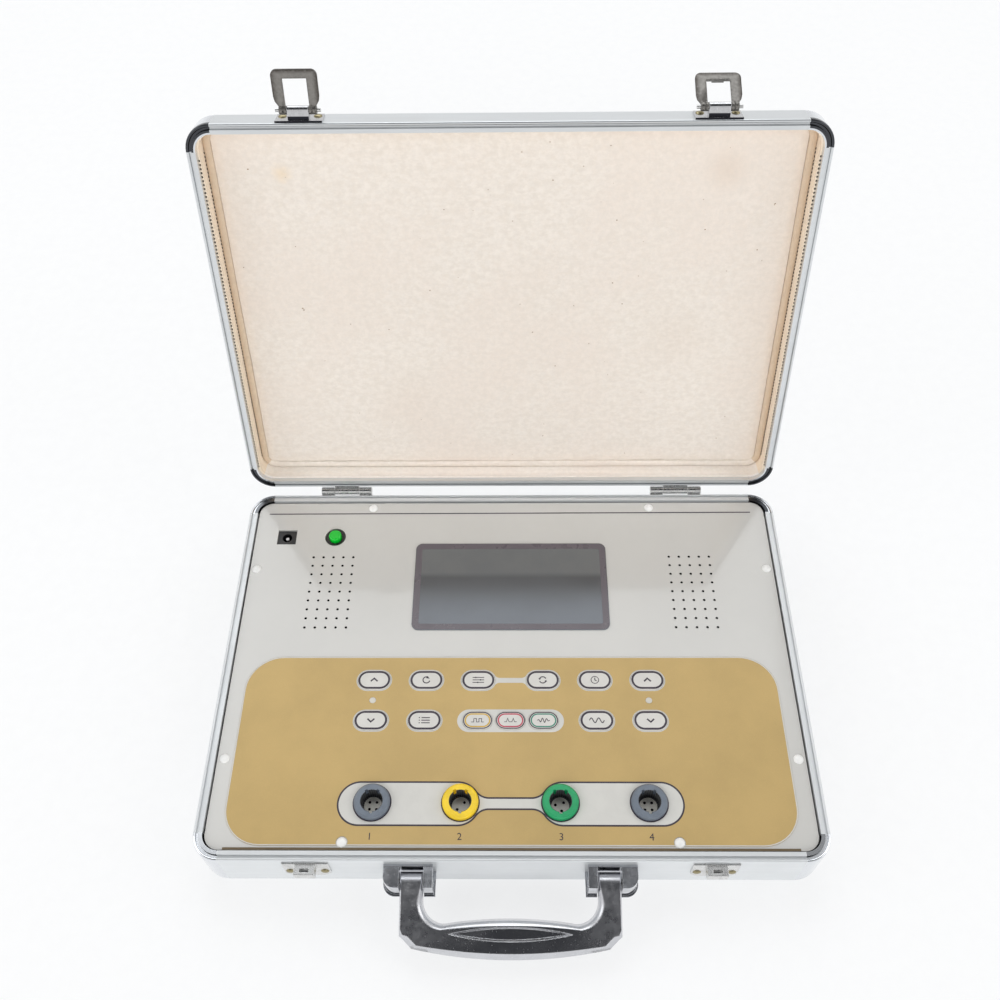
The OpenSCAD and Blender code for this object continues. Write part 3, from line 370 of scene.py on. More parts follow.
def metal(name, colour, rough, dark=0.7, light=1.25, wear=0.5, reach=0.5, scuffs=0.0, patch=60.0,
          patchy=0.35, streak=(40, 40, 40), streaky=0.0, tooth=0.02, bumpy=0.2, groove_shade=0.0, metallic=1.0):
    """Plated, anodised or cast metal with patches, drawn streaks, scuffs, rubbed edges and painted shade in its
    grooves.
    """
    w, shader, place = new_finish(name, {"Metallic": metallic})
    skin = w.grain(place, 5200.0, patch, streak)
    deep = scaled(colour, dark)
    pale = scaled(colour, light)
    spread = w.remap(skin["Patch"], 0.38, 0.68, to_high=patchy)
    base = w.mix(spread, colour, deep)
    if streaky:
        base = w.mix(w.remap(skin["Streak"], 0.35, 0.7, to_high=streaky), base, deep)
    if wear:
        rub = w.group("Edge wear", {"Vector": place, "Reach": reach * MM, "Breakup": 1400.0})
        base = w.mix(w.math("MULTIPLY", rub["Mask"], wear), base, pale)
    # Painted shade: the base colour goes towards its deep tone in grooves and narrow recesses, where ambient
    # occlusion finds little open sky.
    if groove_shade:
        open_sky = w.add("AmbientOcclusion", {"Distance": 2.2 * MM}, samples=6).outputs["AO"]
        base = w.mix(w.remap(open_sky, 0.85, 0.3, to_high=groove_shade), base, deep)
    gloss = w.remap(skin["Patch"], 0.3, 0.75, rough[0], rough[1])
    height = w.math("MULTIPLY", skin["Tooth"], 0.5)
    if scuffs:
        marks = w.group("Scuffs", {"Vector": place, "Scale": 900.0, "Amount": scuffs})
        base = w.mix(w.math("MAXIMUM", marks["Lines"], marks["Specks"]), base, pale)
        gloss = w.math("ADD", gloss, w.math("MULTIPLY", marks["Lines"], 0.2))
        gloss = w.math("ADD", gloss, w.math("MULTIPLY", marks["Specks"], 0.5))
        height = w.math("SUBTRACT", height, w.math("MULTIPLY", marks["Specks"], 0.8))
    round_off = w.rounded(0.6 * reach * MM) if wear else None
    w.drive(shader, base, gloss, w.bump(bumpy, tooth, height, round_off))


def plastic(name, colour, rough=0.35, coat=0.0, vary=0.12, tooth=0.01, scale=2600.0, reach=0.3, wear=0.35):
    """Moulded or painted plastic with a faint tooth, uneven gloss and softened edges."""
    w, shader, place = new_finish(name, {"Coat Weight": coat, "Coat Roughness": 0.12})
    skin = w.grain(place, scale, 120.0)
    rub = w.group("Edge wear", {"Vector": place, "Reach": reach * MM, "Breakup": 1600.0})
    deep = scaled(colour, 1 - vary)
    pale = tuple(min(1.0, c + 0.10) for c in colour)
    base = w.mix(w.remap(skin["Patch"], 0.35, 0.7), colour, deep)
    base = w.mix(w.math("MULTIPLY", rub["Mask"], wear), base, pale)
    round_off = w.rounded(0.6 * reach * MM)
    bump = w.bump(0.3, tooth, skin["Tooth"], round_off)
    w.drive(shader, base, w.remap(skin["Patch"], 0.3, 0.7, rough * 0.85, rough * 1.15), bump)


def overlaid(name, colour, mask):
    """Blend a second colour over a finish where a mask asks for it."""
    tree = FINISHES[name].node_tree
    w = Wiring(tree)
    base = tree.nodes["Principled BSDF"].inputs["Base Color"]
    w.feed(w.mix(mask(w), base.links[0].from_socket, colour), base)


def clouded(name, amount, mask):
    """Raise a finish's roughness where a mask asks for it."""
    tree = FINISHES[name].node_tree
    w = Wiring(tree)
    rough = tree.nodes["Principled BSDF"].inputs["Roughness"]
    w.feed(w.math("ADD", rough.links[0].from_socket, w.math("MULTIPLY", mask(w), amount)), rough)


def lid_back():
    """Direction from the rim of the open lid to its outer skin."""
    return (lid_point(0, 0, 1) - lid_point(0, 0, 0)).normalized()


def lid_rise():
    """Direction from the hinge side of the open lid to its hasp side."""
    return (lid_point(0, 1, 0) - lid_point(0, 0, 0)).normalized()


def lid_rim(w):
    """Rim band of the lid's corner pieces."""
    local = w.offset(lid_point(0, 0, 0))
    return w.remap(w.along(local, lid_back()), 3.5 * MM, 3.2 * MM)


def lid_turn(w):
    """Outer part of the blocks in the lid's corners."""
    local = w.offset(lid_point(0, LID_MIDDLE, 0))
    reach = []
    for way, half in (((1, 0, 0), CASE_W / 2), (lid_rise(), CASE_D / 2)):
        past = w.math("SUBTRACT", w.math("ABSOLUTE", w.along(local, way)), (half - CORNER_R) * MM)
        reach.append(w.math("MAXIMUM", past, 0.0))
    return w.remap(w.hypot(*reach), 9.75 * MM, 9.95 * MM)


def base_turn(w):
    """Blocks in the base's corners, with the dark band as a painted reflection: dark at the hinge side, brighter
    at the handle side.
    """
    part = w.axes()
    lean = w.math("ADD", w.math("MULTIPLY", part[1], 3.6), w.math("MULTIPLY", part[0], 1.3))
    return w.math("ADD", lean, 0.7, clamp=True)


def contact_holes(w):
    """Bores of the contact inserts, below their top faces, painted near-black as shade."""
    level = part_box("socket_inserts")[1].z
    return w.remap(w.axes()[2], level - 0.2 * MM, level - 0.4 * MM)


def rim_side(w):
    """Faces of the latch plates that look out of the open lid, up to half of the strap's height, where a dark
    reflection is painted.
    """
    facing = w.add("TexCoord").outputs["Normal"]
    top = LID_MIDDLE + CASE_D / 2 + STRAP_DARK
    local = w.offset(lid_point(0, top, 0))
    below = w.remap(w.along(local, lid_rise()), 0.2 * MM, -0.2 * MM)
    return w.math("MULTIPLY", w.remap(w.along(facing, -lid_back()), 0.35, 0.7), below)


def handle_arms(w):
    """Arms of the carrying handle, where the plating has gone cloudy in patches."""
    part = w.axes()
    out = w.remap(w.math("ABSOLUTE", part[0]), 24 * MM, 52 * MM)
    patches = w.grain(w.place(), 4000.0, 260.0)["Patch"]
    return w.math("MULTIPLY", out, w.remap(patches, 0.3, 0.65, 0.5, 1.0))


def hasp_edge(w):
    """Outer sides and end bar of the hasps, rubbed dark in patches."""
    low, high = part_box("hasp_right")
    half, pivot = (high.x - low.x) / 2, JOINT["hasp_right_hinge"]["pos_m"]
    part = w.axes()
    across = w.math("ABSOLUTE", w.math("SUBTRACT", w.math("ABSOLUTE", part[0]), (high.x + low.x) / 2))
    away = w.hypot(*[w.math("SUBTRACT", part[k], pivot[k]) for k in (1, 2)])
    edge = w.math("MAXIMUM", w.remap(across, 0.74 * half, half), w.remap(away, HASP_L - 2.6 * MM, HASP_L))
    return w.math("MULTIPLY", edge, w.remap(w.noise(w.place(), 900.0, 3.0), 0.3, 0.6, 0.55, 0.95))


def glossy_panel(name, colour):
    """Sprayed and polished panel plate: faint orange peel under a clear coat, with painted shade on the walls of
    the grille holes.
    """
    sockets = {"Coat Weight": 1.0, "Coat Roughness": 0.06, "Specular IOR Level": 0.6}
    w, shader, place = new_finish(name, sockets)
    skin = w.grain(place, 420.0, 22.0)
    base = w.mix(w.remap(skin["Patch"], 0.3, 0.7), colour, scaled(colour, 0.965))
    steep = w.remap(w.add("SeparateXYZ", {0: w.add("NewGeometry").outputs["Normal"]}).outputs[2], 0.6, 0.3)
    depth = w.axes()[1]
    grille = w.math("MULTIPLY", *[w.remap(depth, a * MM, b * MM) for a, b in GRILLE_ENDS])
    grille_hole_shade = w.math("MULTIPLY", steep, grille)
    # Painted shade: steep hole walls in the grille rows turn near-black and lose their clear coat.
    base = w.mix(grille_hole_shade, base, (0.008, 0.008, 0.008))
    w.feed(w.math("SUBTRACT", 1.0, grille_hole_shade), shader.inputs["Coat Weight"])
    bump = w.bump(0.02, 0.01, skin["Patch"])
    w.drive(shader, base, w.remap(skin["Tooth"], 0.3, 0.7, 0.2, 0.26), bump)


def gold_print(name, colour):
    """Satin gold ink: fine metallic flake and soft cloudiness."""
    w, shader, place = new_finish(name, {"Metallic": 0.25, "Specular IOR Level": 0.45})
    skin = w.grain(place, 3000.0, 26.0)
    cloud = w.mix(w.remap(skin["Patch"], 0.3, 0.7), colour, scaled(colour, 0.9))
    flake = w.remap(skin["Tooth"], 0.52, 0.72, to_high=0.22)
    base = w.mix(flake, cloud, scaled(colour, 1.35))
    bump = w.bump(0.12, 0.015, skin["Tooth"])
    w.drive(shader, base, w.remap(skin["Tooth"], 0.35, 0.7, 0.34, 0.5), bump)


def suede(name, colour, low=0.9, marks=()):
    """Brushed suede with blotches, and soft stains at the given places and sizes."""
    sockets = {"Sheen Weight": 0.25, "Sheen Roughness": 0.45, "Specular IOR Level": 0.15}
    w, shader, place = new_finish(name, sockets)
    nap = w.group("Suede nap", {"Vector": place, "Fibre": 2600.0, "Stroke": 240.0})
    deep = scaled(colour, low, 0.985 * low, 0.965 * low)
    base = w.mix(w.remap(nap["Stroke"], 0.36, 0.66), colour, deep)
    rosy = scaled(colour, 0.965, 0.925, 0.905)
    base = w.mix(w.remap(nap["Blotch"], 0.42, 0.66, to_high=0.55), base, rosy)
    fibre = w.remap(nap["Height"], 0.38, 0.62, to_high=0.3)
    base = w.mix(fibre, base, scaled(colour, 0.8))
    for at, reach, ink, strength in marks:
        away = w.vector("DISTANCE", place, at)["Value"]
        ragged = w.math("ADD", away, w.math("MULTIPLY", nap["Stroke"], reach * 0.9))
        spot = w.remap(ragged, reach * 1.25, reach * 0.45, to_high=strength)
        base = w.mix(spot, base, ink)
    w.drive(shader, base, 0.95, w.bump(0.55, 0.12, nap["Height"]))


def socket_plastic(name, colour, centre, bore):
    """Moulded collar whose bore is painted dark as shade, with lighter stripes for the shading of its ribs."""
    w, shader, place = new_finish(name, {"Coat Weight": 0.25, "Coat Roughness": 0.15})
    part = w.add("SeparateXYZ", {0: w.offset(centre)}).outputs
    away = w.hypot(part[0], part[1])
    inside = w.remap(away, bore * 1.06, bore * 1.01)
    angle = w.math("ARCTAN2", part[1], part[0])
    rib = w.math("SINE", w.math("MULTIPLY", angle, 30.0))
    skin = w.grain(place, 2200.0, 160.0)
    outer = w.mix(w.remap(skin["Patch"], 0.35, 0.7), colour, scaled(colour, 0.86))
    # Painted shade inside the bore, striped round it for the ribs.
    bore_shade = w.mix(w.remap(rib, -0.4, 0.4), (0.012, 0.012, 0.014), (0.075, 0.08, 0.09))
    round_off = w.rounded(0.35 * MM)
    bump = w.bump(0.3, 0.012, skin["Tooth"], round_off)
    w.drive(shader, w.mix(inside, outer, bore_shade), w.remap(skin["Patch"], 0.3, 0.7, 0.3, 0.4), bump)


def laminate(name, colour):
    """Silver laminate with an embossed pebble."""
    w, shader, place = new_finish(name, {"Metallic": 0.55})
    cells = w.add("TexVoronoi", {"Vector": place, "Scale": 620.0}, feature="SMOOTH_F1").outputs["Distance"]
    skin = w.grain(place, 3000.0, 18.0)
    base = w.mix(w.remap(cells, 0.1, 0.6), colour, scaled(colour, 0.78))
    dusk = w.remap(skin["Patch"], 0.4, 0.7, to_high=0.3)
    base = w.mix(dusk, base, scaled(colour, 0.85))
    bump = w.bump(0.4, 0.1, cells, invert=True)
    w.drive(shader, base, w.remap(skin["Patch"], 0.3, 0.7, 0.36, 0.5), bump)


def board(name, colour):
    """Circuit board with traces under solder mask."""
    w, shader, place = new_finish(name, {"Coat Weight": 0.3, "Coat Roughness": 0.2})
    brick = w.add("TexBrick", {"Vector": place, "Scale": 160.0, "Mortar Size": 0.06}).outputs["Fac"]
    skin = w.grain(place, 2600.0, 90.0)
    base = w.mix(w.remap(skin["Patch"], 0.35, 0.65), colour, scaled(colour, 0.7))
    base = w.mix(w.math("MULTIPLY", brick, 0.4), base, scaled(colour, 2))
    w.drive(shader, base, w.remap(skin["Tooth"], 0.3, 0.7, 0.35, 0.5))


def display_glass(name, colour):
    """Dark display under clear glass, with painted reflections: lighter and warm at its head, lighter and cool at
    its foot.
    """
    sockets = {"Coat Weight": 0.8, "Coat Roughness": 0.14, "Specular IOR Level": 0.4}
    w, shader, place = new_finish(name, sockets)
    low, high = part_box("lcd_lens")
    rise = w.axes()[1]
    fade = w.remap(rise, high.y, low.y)
    skin = w.grain(place, 2600.0, 30.0)
    # Painted reflections: a cool tint at the foot, a warm one at the head, darker between.
    foot = scaled(colour, 1.22, 1.32, 1.44)
    head = scaled(colour, 1.42, 1.40, 1.28)
    waist = scaled(colour, 0.6)
    base = w.mix(w.remap(fade, 0.26, 0.38), head, waist)
    base = w.mix(w.remap(fade, 0.46, 1.0), base, foot)
    smear = w.remap(skin["Patch"], 0.35, 0.7, to_high=0.25)
    base = w.mix(smear, base, scaled(colour, 0.8))
    w.drive(shader, base, w.remap(skin["Patch"], 0.3, 0.7, 0.12, 0.2))


def linked(name, data):
    """A new object in the scene."""
    made = bpy.data.objects.new(name, data)
    bpy.context.scene.collection.objects.link(made)
    return made


def carried(piece, body, replaces=()):
    """Has a piece ride on a body and the CAD nodes that it stands for."""
    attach(piece, body)
    if replaces:
        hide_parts(*replaces)
    return piece


def new_piece(name, mesh, body, replaces=()):
    """A finished mesh as a piece that rides on a body."""
    return carried(linked(name, mesh), body, replaces)


def mesh_from(bm, name, finishes, sharp=38.0):
    """Closes a bmesh into a smooth-shaded mesh with its sharp edges kept."""
    bmesh.ops.recalc_face_normals(bm, faces=bm.faces)
    mesh = bpy.data.meshes.new(name)
    bm.to_mesh(mesh)
    bm.free()
    for finish in finishes:
        mesh.materials.append(FINISHES[finish])
    mesh.shade_smooth()
    mesh.set_sharp_from_angle(angle=math.radians(sharp))
    return mesh


def dress(finish, *nodes):
    """Gives CAD nodes a finish."""
    for node in nodes:
        slots = NODES[node].data.materials
        slots.clear()
        slots.append(FINISHES[finish])


def levelled(piece):
    """Has flat faces keep their own shading beside rounded edges."""
    weighted = piece.modifiers.new("Weighted normals", "WEIGHTED_NORMAL")
    weighted.keep_sharp = True


def softened(node, finish, width, segments=2, sharp=30.0):
    """A copy of a CAD node with its hard edges rounded, standing in its place."""
    bm = bmesh.new()
    bm.from_mesh(NODES[node].data)
    bmesh.ops.remove_doubles(bm, verts=bm.verts, dist=WELD)
    bmesh.ops.dissolve_limit(bm, angle_limit=math.radians(1.0), verts=bm.verts, edges=bm.edges)
    hard = [e for e in bm.edges if e.is_manifold and e.calc_face_angle(0.0) > math.radians(sharp)]
    bmesh.ops.bevel(bm, geom=hard, offset=width, segments=segments, profile=0.5, affect="EDGES",
                    clamp_overlap=True)
    for face in bm.faces:
        face.material_index = 0
    mesh = mesh_from(bm, node + "_form", [finish], 40.0)
    piece = new_piece(node + "_form", mesh, BODY_OF[node], [node])
    levelled(piece)
    return piece


def evaluated(thing):
    """The mesh that an object comes to, as new data."""
    graph = bpy.context.evaluated_depsgraph_get()
    return bpy.data.meshes.new_from_object(thing.evaluated_get(graph))


def settled(piece):
    """Works a piece's modifiers into its mesh and clears them."""
    mesh = evaluated(piece)
    piece.modifiers.clear()
    old = piece.data
    piece.data = mesh
    bpy.data.meshes.remove(old)


def punched(piece, bm):
    """Takes a set of closed cutting shapes out of a piece."""
    cutter = linked("cutter", mesh_from(bm, "cutter", []))
    cut = piece.modifiers.new("Cut", "BOOLEAN")
    cut.object = cutter
    cut.solver = "EXACT"
    settled(piece)
    bpy.data.objects.remove(cutter)
    piece.data.set_sharp_from_angle(angle=math.radians(40))


def arc(centre, radius, start, stop, count):
    """Points along an arc, in degrees."""
    steps = [math.radians(start + (stop - start) * i / count) for i in range(count + 1)]
    return [(centre[0] + radius * math.cos(a), centre[1] + radius * math.sin(a)) for a in steps]


def pill(centre, long, wide, count=14):
    """Outline of a pill, long along X."""
    half = (long - wide) / 2
    right = arc((centre[0] + half, centre[1]), wide / 2, -90, 90, count)
    return right + arc((centre[0] - half, centre[1]), wide / 2, 90, 270, count)


def rounded_box(centre, wide, deep, radius, count=8):
    """Outline of a rounded rectangle."""
    points = []
    for sx, sy, start in ((1, 1, 0), (-1, 1, 90), (-1, -1, 180), (1, -1, 270)):
        at = (centre[0] + sx * (wide / 2 - radius), centre[1] + sy * (deep / 2 - radius))
        points += arc(at, radius, start, start + 90, count)
    return points


def bridged(centre, far, radius, neck, fillet, tip, count=12):
    """Outline of two pads joined by a neck; far is the inner end's centre, tip the outer end's centre."""
    across = math.sqrt((radius + fillet) ** 2 - (neck + fillet) ** 2)
    lean = math.degrees(math.atan2(neck + fillet, across))
    quarter = arc((tip, 0), radius, 0, 90, count)
    quarter += arc((far, 0), radius, 90, 180 - lean, count)
    quarter += arc((far - across, neck + fillet), fillet, -lean, -90, count)
    upper = quarter + [(-x, y) for x, y in reversed(quarter)]
    lower = [(x, -y) for x, y in reversed(upper)]
    return [(centre[0] + x, centre[1] + y) for x, y in upper + lower[1:-1]]


def skirt(bm, a, b, slot=0):
    """Faces between two closed rows that have as many points."""
    for k in range(len(a)):
        m = (k + 1) % len(a)
        bm.faces.new((a[k], a[m], b[m], b[k])).material_index = slot


def closed(bm, rows):
    """A closed shape through rows of points, with a face at either end."""
    for a, b in zip(rows, rows[1:]):
        skirt(bm, a, b)
    bm.faces.new(rows[0])
    bm.faces.new(list(reversed(rows[-1])))


def print_plate(bm, outer, low, high, slot, inner=None):
    """A thin printed shape between two levels, with an optional hole that has as many points."""
    def ring(points, level):
        return [bm.verts.new((x * MM, y * MM, level * MM)) for x, y in points]

    top, foot = ring(outer, high), ring(outer, low)
    skirt(bm, foot, top, slot)
    if inner:
        hole, hole_foot = ring(inner, high), ring(inner, low)
        for a, b in ((top, hole), (hole, hole_foot), (hole_foot, foot)):
            skirt(bm, a, b, slot)
    else:
        bm.faces.new(top).material_index = slot
        bm.faces.new(list(reversed(foot))).material_index = slot


def within(loop, x, y):
    """Whether a point lies inside a closed outline."""
    odd = False
    for (ax, ay), (bx, by) in zip(loop, loop[1:] + loop[:1]):
        if (ay > y) != (by > y) and x < ax + (y - ay) * (bx - ax) / (by - ay):
            odd = not odd
    return odd


def print_sheet(bm, outer, holes, low, high, slot):
    """A thin printed shape with any number of holes."""
    spots, ties = [], []
    for loop in (outer, *holes):
        first, count = len(spots), len(loop)
        spots += [Vector(p) for p in loop]
        ties += [(first + k, first + (k + 1) % count) for k in range(count)]
    flat, _, cells, *_ = delaunay_2d_cdt(spots, ties, [], 0, 1e-5)
    kept = []
    for cell in cells:
        x, y = sum((flat[k] for k in cell), Vector((0, 0))) / len(cell)
        if within(outer, x, y) and not any(within(hole, x, y) for hole in holes):
            kept.append(cell)
    top, foot = ([bm.verts.new((p.x * MM, p.y * MM, z * MM)) for p in flat] for z in (high, low))
    sides = {}
    for cell in kept:
        bm.faces.new([top[k] for k in cell]).material_index = slot
        bm.faces.new([foot[k] for k in reversed(cell)]).material_index = slot
        for a, b in zip(cell, cell[1:] + cell[:1]):
            sides[(a, b)] = True
    for a, b in sides:
        if (b, a) not in sides:
            bm.faces.new((top[b], top[a], foot[a], foot[b])).material_index = slot
    bmesh.ops.delete(bm, geom=[v for v in top + foot if not v.link_faces], context="VERTS")


def stroke(bm, points, wide, low, high, slot):
    """A printed line of even width along a run of points."""
    left, right = [], []
    for i, p in enumerate(points):
        before = Vector(points[max(i - 1, 0)])
        after = Vector(points[min(i + 1, len(points) - 1)])
        here = Vector(p)
        a = (here - before).normalized() if i else (after - here).normalized()
        b = (after - here).normalized() if i < len(points) - 1 else a
        mean = (a + b).normalized()
        side = Vector((-mean.y, mean.x)) * (wide / 2 / max(0.4, mean.dot(a)))
        left.append(tuple(here + side))
        right.append(tuple(here - side))
    print_plate(bm, right + list(reversed(left)), low, high, slot)


CASE_W, CASE_D, CORNER_R = 324.0, 227.0, 14.0
LID_OPEN, LID_MIDDLE, LINING_FACE, LINING_BACK = 105.5, 116.2, 14.6, 16.5
STRAP_DARK, HASP_L = 2.6, 19.5 * MM
HANDLE_PIVOT, HANDLE_DROOP, HANDLE_THICK = (-120.3, 24.0), math.radians(21.0), 10.5
KEY_SIZE, TINT_SIZE, KEY_GAP = (18.6, 11.6), (16.4, 10.4), 0.1
CONTACT_BORE, NUMBER_Y, GRILLE_ENDS = 5.7, -101.0, ((10, 11), (73, 72))
DARK_SKY, LIGHTS_AIM = (0.0, -0.25, 0.968), Vector((0, 0.02, 0.08))
KEY_ROWS = {
    "key_top_1": "up", "key_top_2": "reset", "key_top_3": "slide", "key_top_4": "cycle",
    "key_top_5": "clock", "key_top_6": "up", "key_low_1": "down", "key_low_2": "list",
    "key_low_3": "wave", "key_low_4": "down", "key_yellow": "square", "key_red": "spike",
    "key_green": "burst",
}
PAIRED_KEYS = ("key_top_3", "key_top_4")
TINTS = {"key_yellow": "ink_yellow", "key_red": "ink_red", "key_green": "ink_green"}
SOCKETS = ("out1_socket", "out2_socket", "out3_socket", "out4_socket")


def lid_point(x, rise, depth):
    """A place in the open lid, in millimetres: across, up from the hinge axis, back from the axis."""
    hinge = JOINT["lid_hinge"]["pos_m"]
    lean = math.radians(LID_OPEN - 90.0)
    y = hinge[1] + (math.sin(lean) * rise + math.cos(lean) * depth) * MM
    z = hinge[2] + (math.cos(lean) * rise - math.sin(lean) * depth) * MM
    return Vector((x * MM, y, z))


def middle(node):
    """Centre of a CAD node's box in millimetres."""
    low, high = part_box(node)
    return (low + high) / 2 / MM


def key_outline(node, grow):
    """Outline of a key, grown by a margin all round."""
    long, wide = TINT_SIZE if node in TINTS else KEY_SIZE
    return pill(middle(node), long + 2 * grow, wide + 2 * grow)


class CASE_OT_finishes(bpy.types.Operator):
    """Build every finish and the effects they share"""

    bl_idname = "case.finishes"
    bl_label = "Finishes"

    def execute(self, context):
        for build in (edge_wear_effect, grain_effect, scuff_effect, nap_effect):
            build()
        m, p, q = context.scene.case_metal, context.scene.case_panel, context.scene.case_lining
        # Aluminium finishes; the third column is how strongly shade is painted into the profile's grooves.
        for name, rough, groove_shade, metallic in (("wall_aluminium", (0.3, 0.38), 0.3, 1.0),
                                             ("base_aluminium", (0.38, 0.46), 0.15, 0.5)):
            metal(name, m.aluminium, rough, 0.55, 1.08, 0.0, 0.25, patchy=0.05, patch=35.0,
                  streak=(18, 18, 420), streaky=0.06, bumpy=0.03, groove_shade=groove_shade, metallic=metallic)
        polish = (0.12, 0.2)
        for name, rough, wear, mask in (("corner_polish", polish, m.wear * 0.4, None),
                                        ("lid_corner_band", polish, 0.2, lid_rim),
                                        ("lid_block", polish, 0.2, lid_turn),
                                        # On the base blocks the dark band is a painted reflection, graded by
                                        # position.
                                        ("base_block", (0.14, 0.24), 0.2, base_turn)):
            metal(name, m.corner, rough, 0.9, 1.1, wear, 0.25, scuffs=0.1, bumpy=0.05)
            if mask:
                overlaid(name, m.band, mask)
        laminate("silver_laminate", m.skin)
        plastic("black_mould", m.black, 0.32, 0.1)
        metal("worn_nickel", m.nickel, (0.2, 0.36), 0.55, 1.3, m.wear, 0.7, scuffs=0.15, patch=260.0,
              patchy=0.3)
        metal("hasp_steel", m.hasp, (0.28, 0.42), 0.75, 0.4, 0.9, 1.8, scuffs=0.3, patch=700.0,
              patchy=0.5)
        overlaid("hasp_steel", m.tarnish, hasp_edge)
        metal("latch_nickel", m.latch, (0.14, 0.28), 0.7, 1.2, m.wear, 0.5, scuffs=0.3, patch=300.0)
        # The latch faces that look out of the open lid get a painted dark reflection.
        overlaid("latch_nickel", m.strap, rim_side)
        metal("bracket_plate", m.bracket, (0.08, 0.2), 0.6, 1.3, m.wear, 0.6, scuffs=0.2, patch=140.0)
        metal("handle_plate", m.handle, (0.15, 0.26), 0.6, 1.6, m.wear, 0.8, scuffs=0.22, patch=60.0,
              patchy=0.2)
        clouded("handle_plate", 0.15, handle_arms)
        metal("rivet_brass", m.brass, (0.2, 0.35), 0.6, 1.4, m.wear, 0.4)
        metal("turned_post", (0.55, 0.55, 0.56), (0.25, 0.35))
        glossy_panel("panel_gloss", p.panel)
        gold_print("gold_ink", p.gold)
        display_glass("lens_glass", p.glass)
        plastic("lens_border", p.border, 0.3, 0.5, vary=0.03, wear=0.0)
        plastic("display_box", tone(70, 74, 80), 0.5)
        plastic("white_cap", tone(244, 244, 242), 0.3, 0.3, vary=0.05)
        plastic("contact_cream", tone(252, 249, 238), 0.4)
        # Painted shade inside the holes of the contact inserts.
        overlaid("contact_cream", (0.004, 0.004, 0.005), contact_holes)
        plastic("lamp_lens", tone(222, 218, 208), 0.4)
        plastic("power_cap", p.cap, 0.3, 0.2)
        plastic("key_ivory", p.key, 0.36, 0.2, vary=0.04)
        plastic("ink_pale", p.pale, 0.4, vary=0.04, wear=0.0)
        # The brown here is painted shade for the gap along the panel's front edge, and the dark ink also paints
        # shadow rings round the collars.
        for name, ink, rough in (("dark_ink_and_shadow", p.dark, 0.42), ("gap_shade_brown", tone(112, 96, 70), 0.5),
                                 ("ink_yellow", tone(214, 176, 70), 0.42),
                                 ("ink_red", tone(196, 74, 96), 0.42),
                                 ("ink_green", tone(70, 140, 120), 0.42),
                                 ("seam_thread", q.thread, 0.8)):
            plastic(name, ink, rough, wear=0.0)
        plastic("coil_wrap", tone(206, 170, 70), 0.5)
        board("board_mask", tone(28, 92, 58))
        for number, ink in enumerate((p.grey, p.yellow, p.green, p.grey), 1):
            at = middle(SOCKETS[number - 1]) * MM
            socket_plastic("collar_%d" % number, ink, at, CONTACT_BORE * MM)
        old, brown = q.stain, tone(206, 182, 160)
        marks = [(lid_point(x, s, LINING_FACE), reach, ink, strength) for x, s, reach, ink, strength in (
            (-118.5, 199.0, 0.009, old, 0.3), (113.0, 200.0, 0.02, brown, 0.25),
            (96.0, 100.0, 0.034, brown, 0.1), (-60.0, 60.0, 0.04, brown, 0.08))]
        suede("lining_suede", q.suede, 0.93, marks)
        for name, cloth, low in (("trim_suede", q.trim, 0.95), ("trim_tan", q.tan, 0.95),
                                 # The pale walls are a lit copy of the side walls' suede, as painted light.
                                 ("wall_lit_pale", q.pale, 0.97)):
            suede(name, cloth, low)
        return {"FINISHED"}


class CASE_OT_shell(bpy.types.Operator):
    """Finish the aluminium walls, corners, skins, hinges and the inside"""

    bl_idname = "case.shell"
    bl_label = "Shell"

    def execute(self, context):
        edge = context.scene.case_metal.soft_edge
        dress("base_aluminium", "base_walls")
        dress("wall_aluminium", "lid_walls")
        dress("corner_polish", "base_corners")
        dress("lid_block", "lid_corner_blocks")
        dress("lid_corner_band", "lid_corners")
        dress("base_block", "base_corner_blocks")
        dress("black_mould", "power_switch_body", "dc_inlet_body")
        dress("silver_laminate", "floor_panel", "lid_skin")
        dress("worn_nickel", "hinge_pins", "hasp_pins", "handle_pins", "socket_nuts")
        dress("turned_post", "panel_posts", "board_standoffs", "board_screws", "dc_inlet_pin")
        dress("board_mask", "key_board", "main_board")
        dress("coil_wrap", "output_transformers")
        dress("display_box", "lcd_module", "speaker")
        for node in ("hinge_base_leaves", "hinge_lid_leaves"):
            softened(node, "worn_nickel", edge * 0.5)
        return {"FINISHED"}


def pinched(piece, joint):
    """Draw in the outer sides of a hasp towards its ears."""
    pivot = Vector(joint["pos_m"])
    bm = bmesh.new()
    bm.from_mesh(piece.data)
    bmesh.ops.triangulate(bm, faces=bm.faces)
    long_edges = [e for e in bm.edges if e.calc_length() > 3.0 * MM]
    bmesh.ops.subdivide_edges(bm, edges=long_edges, cuts=5)
    xs = [v.co.x for v in bm.verts]
    half, centre = (max(xs) - min(xs)) / 2, (max(xs) + min(xs)) / 2
    for v in bm.verts:
        away = math.hypot(v.co.y - pivot.y, v.co.z - pivot.z)
        side = v.co.x - centre
        if abs(side) > 0.72 * half:
            t = min(1.0, max(0.0, (away - 1.2 * MM) / (4.6 * MM)))
            v.co.x = centre + side * (0.8 + 0.2 * t * t * (3 - 2 * t))
    bm.to_mesh(piece.data)
    bm.free()


class CASE_OT_latches(bpy.types.Operator):
    """Round off the hasps, latch plates, catches and handle brackets"""

    bl_idname = "case.latches"
    bl_label = "Latches and brackets"

    def execute(self, context):
        edge = context.scene.case_metal.soft_edge
        for node in ("hasp_left", "hasp_right"):
            pinched(softened(node, "hasp_steel", edge, 3), JOINT[node + "_hinge"])
        softened("latch_plates", "latch_nickel", edge * 0.6)
        softened("catch_plates", "worn_nickel", edge * 0.6)
        softened("handle_brackets", "bracket_plate", edge * 1.3, 3)
        return {"FINISHED"}


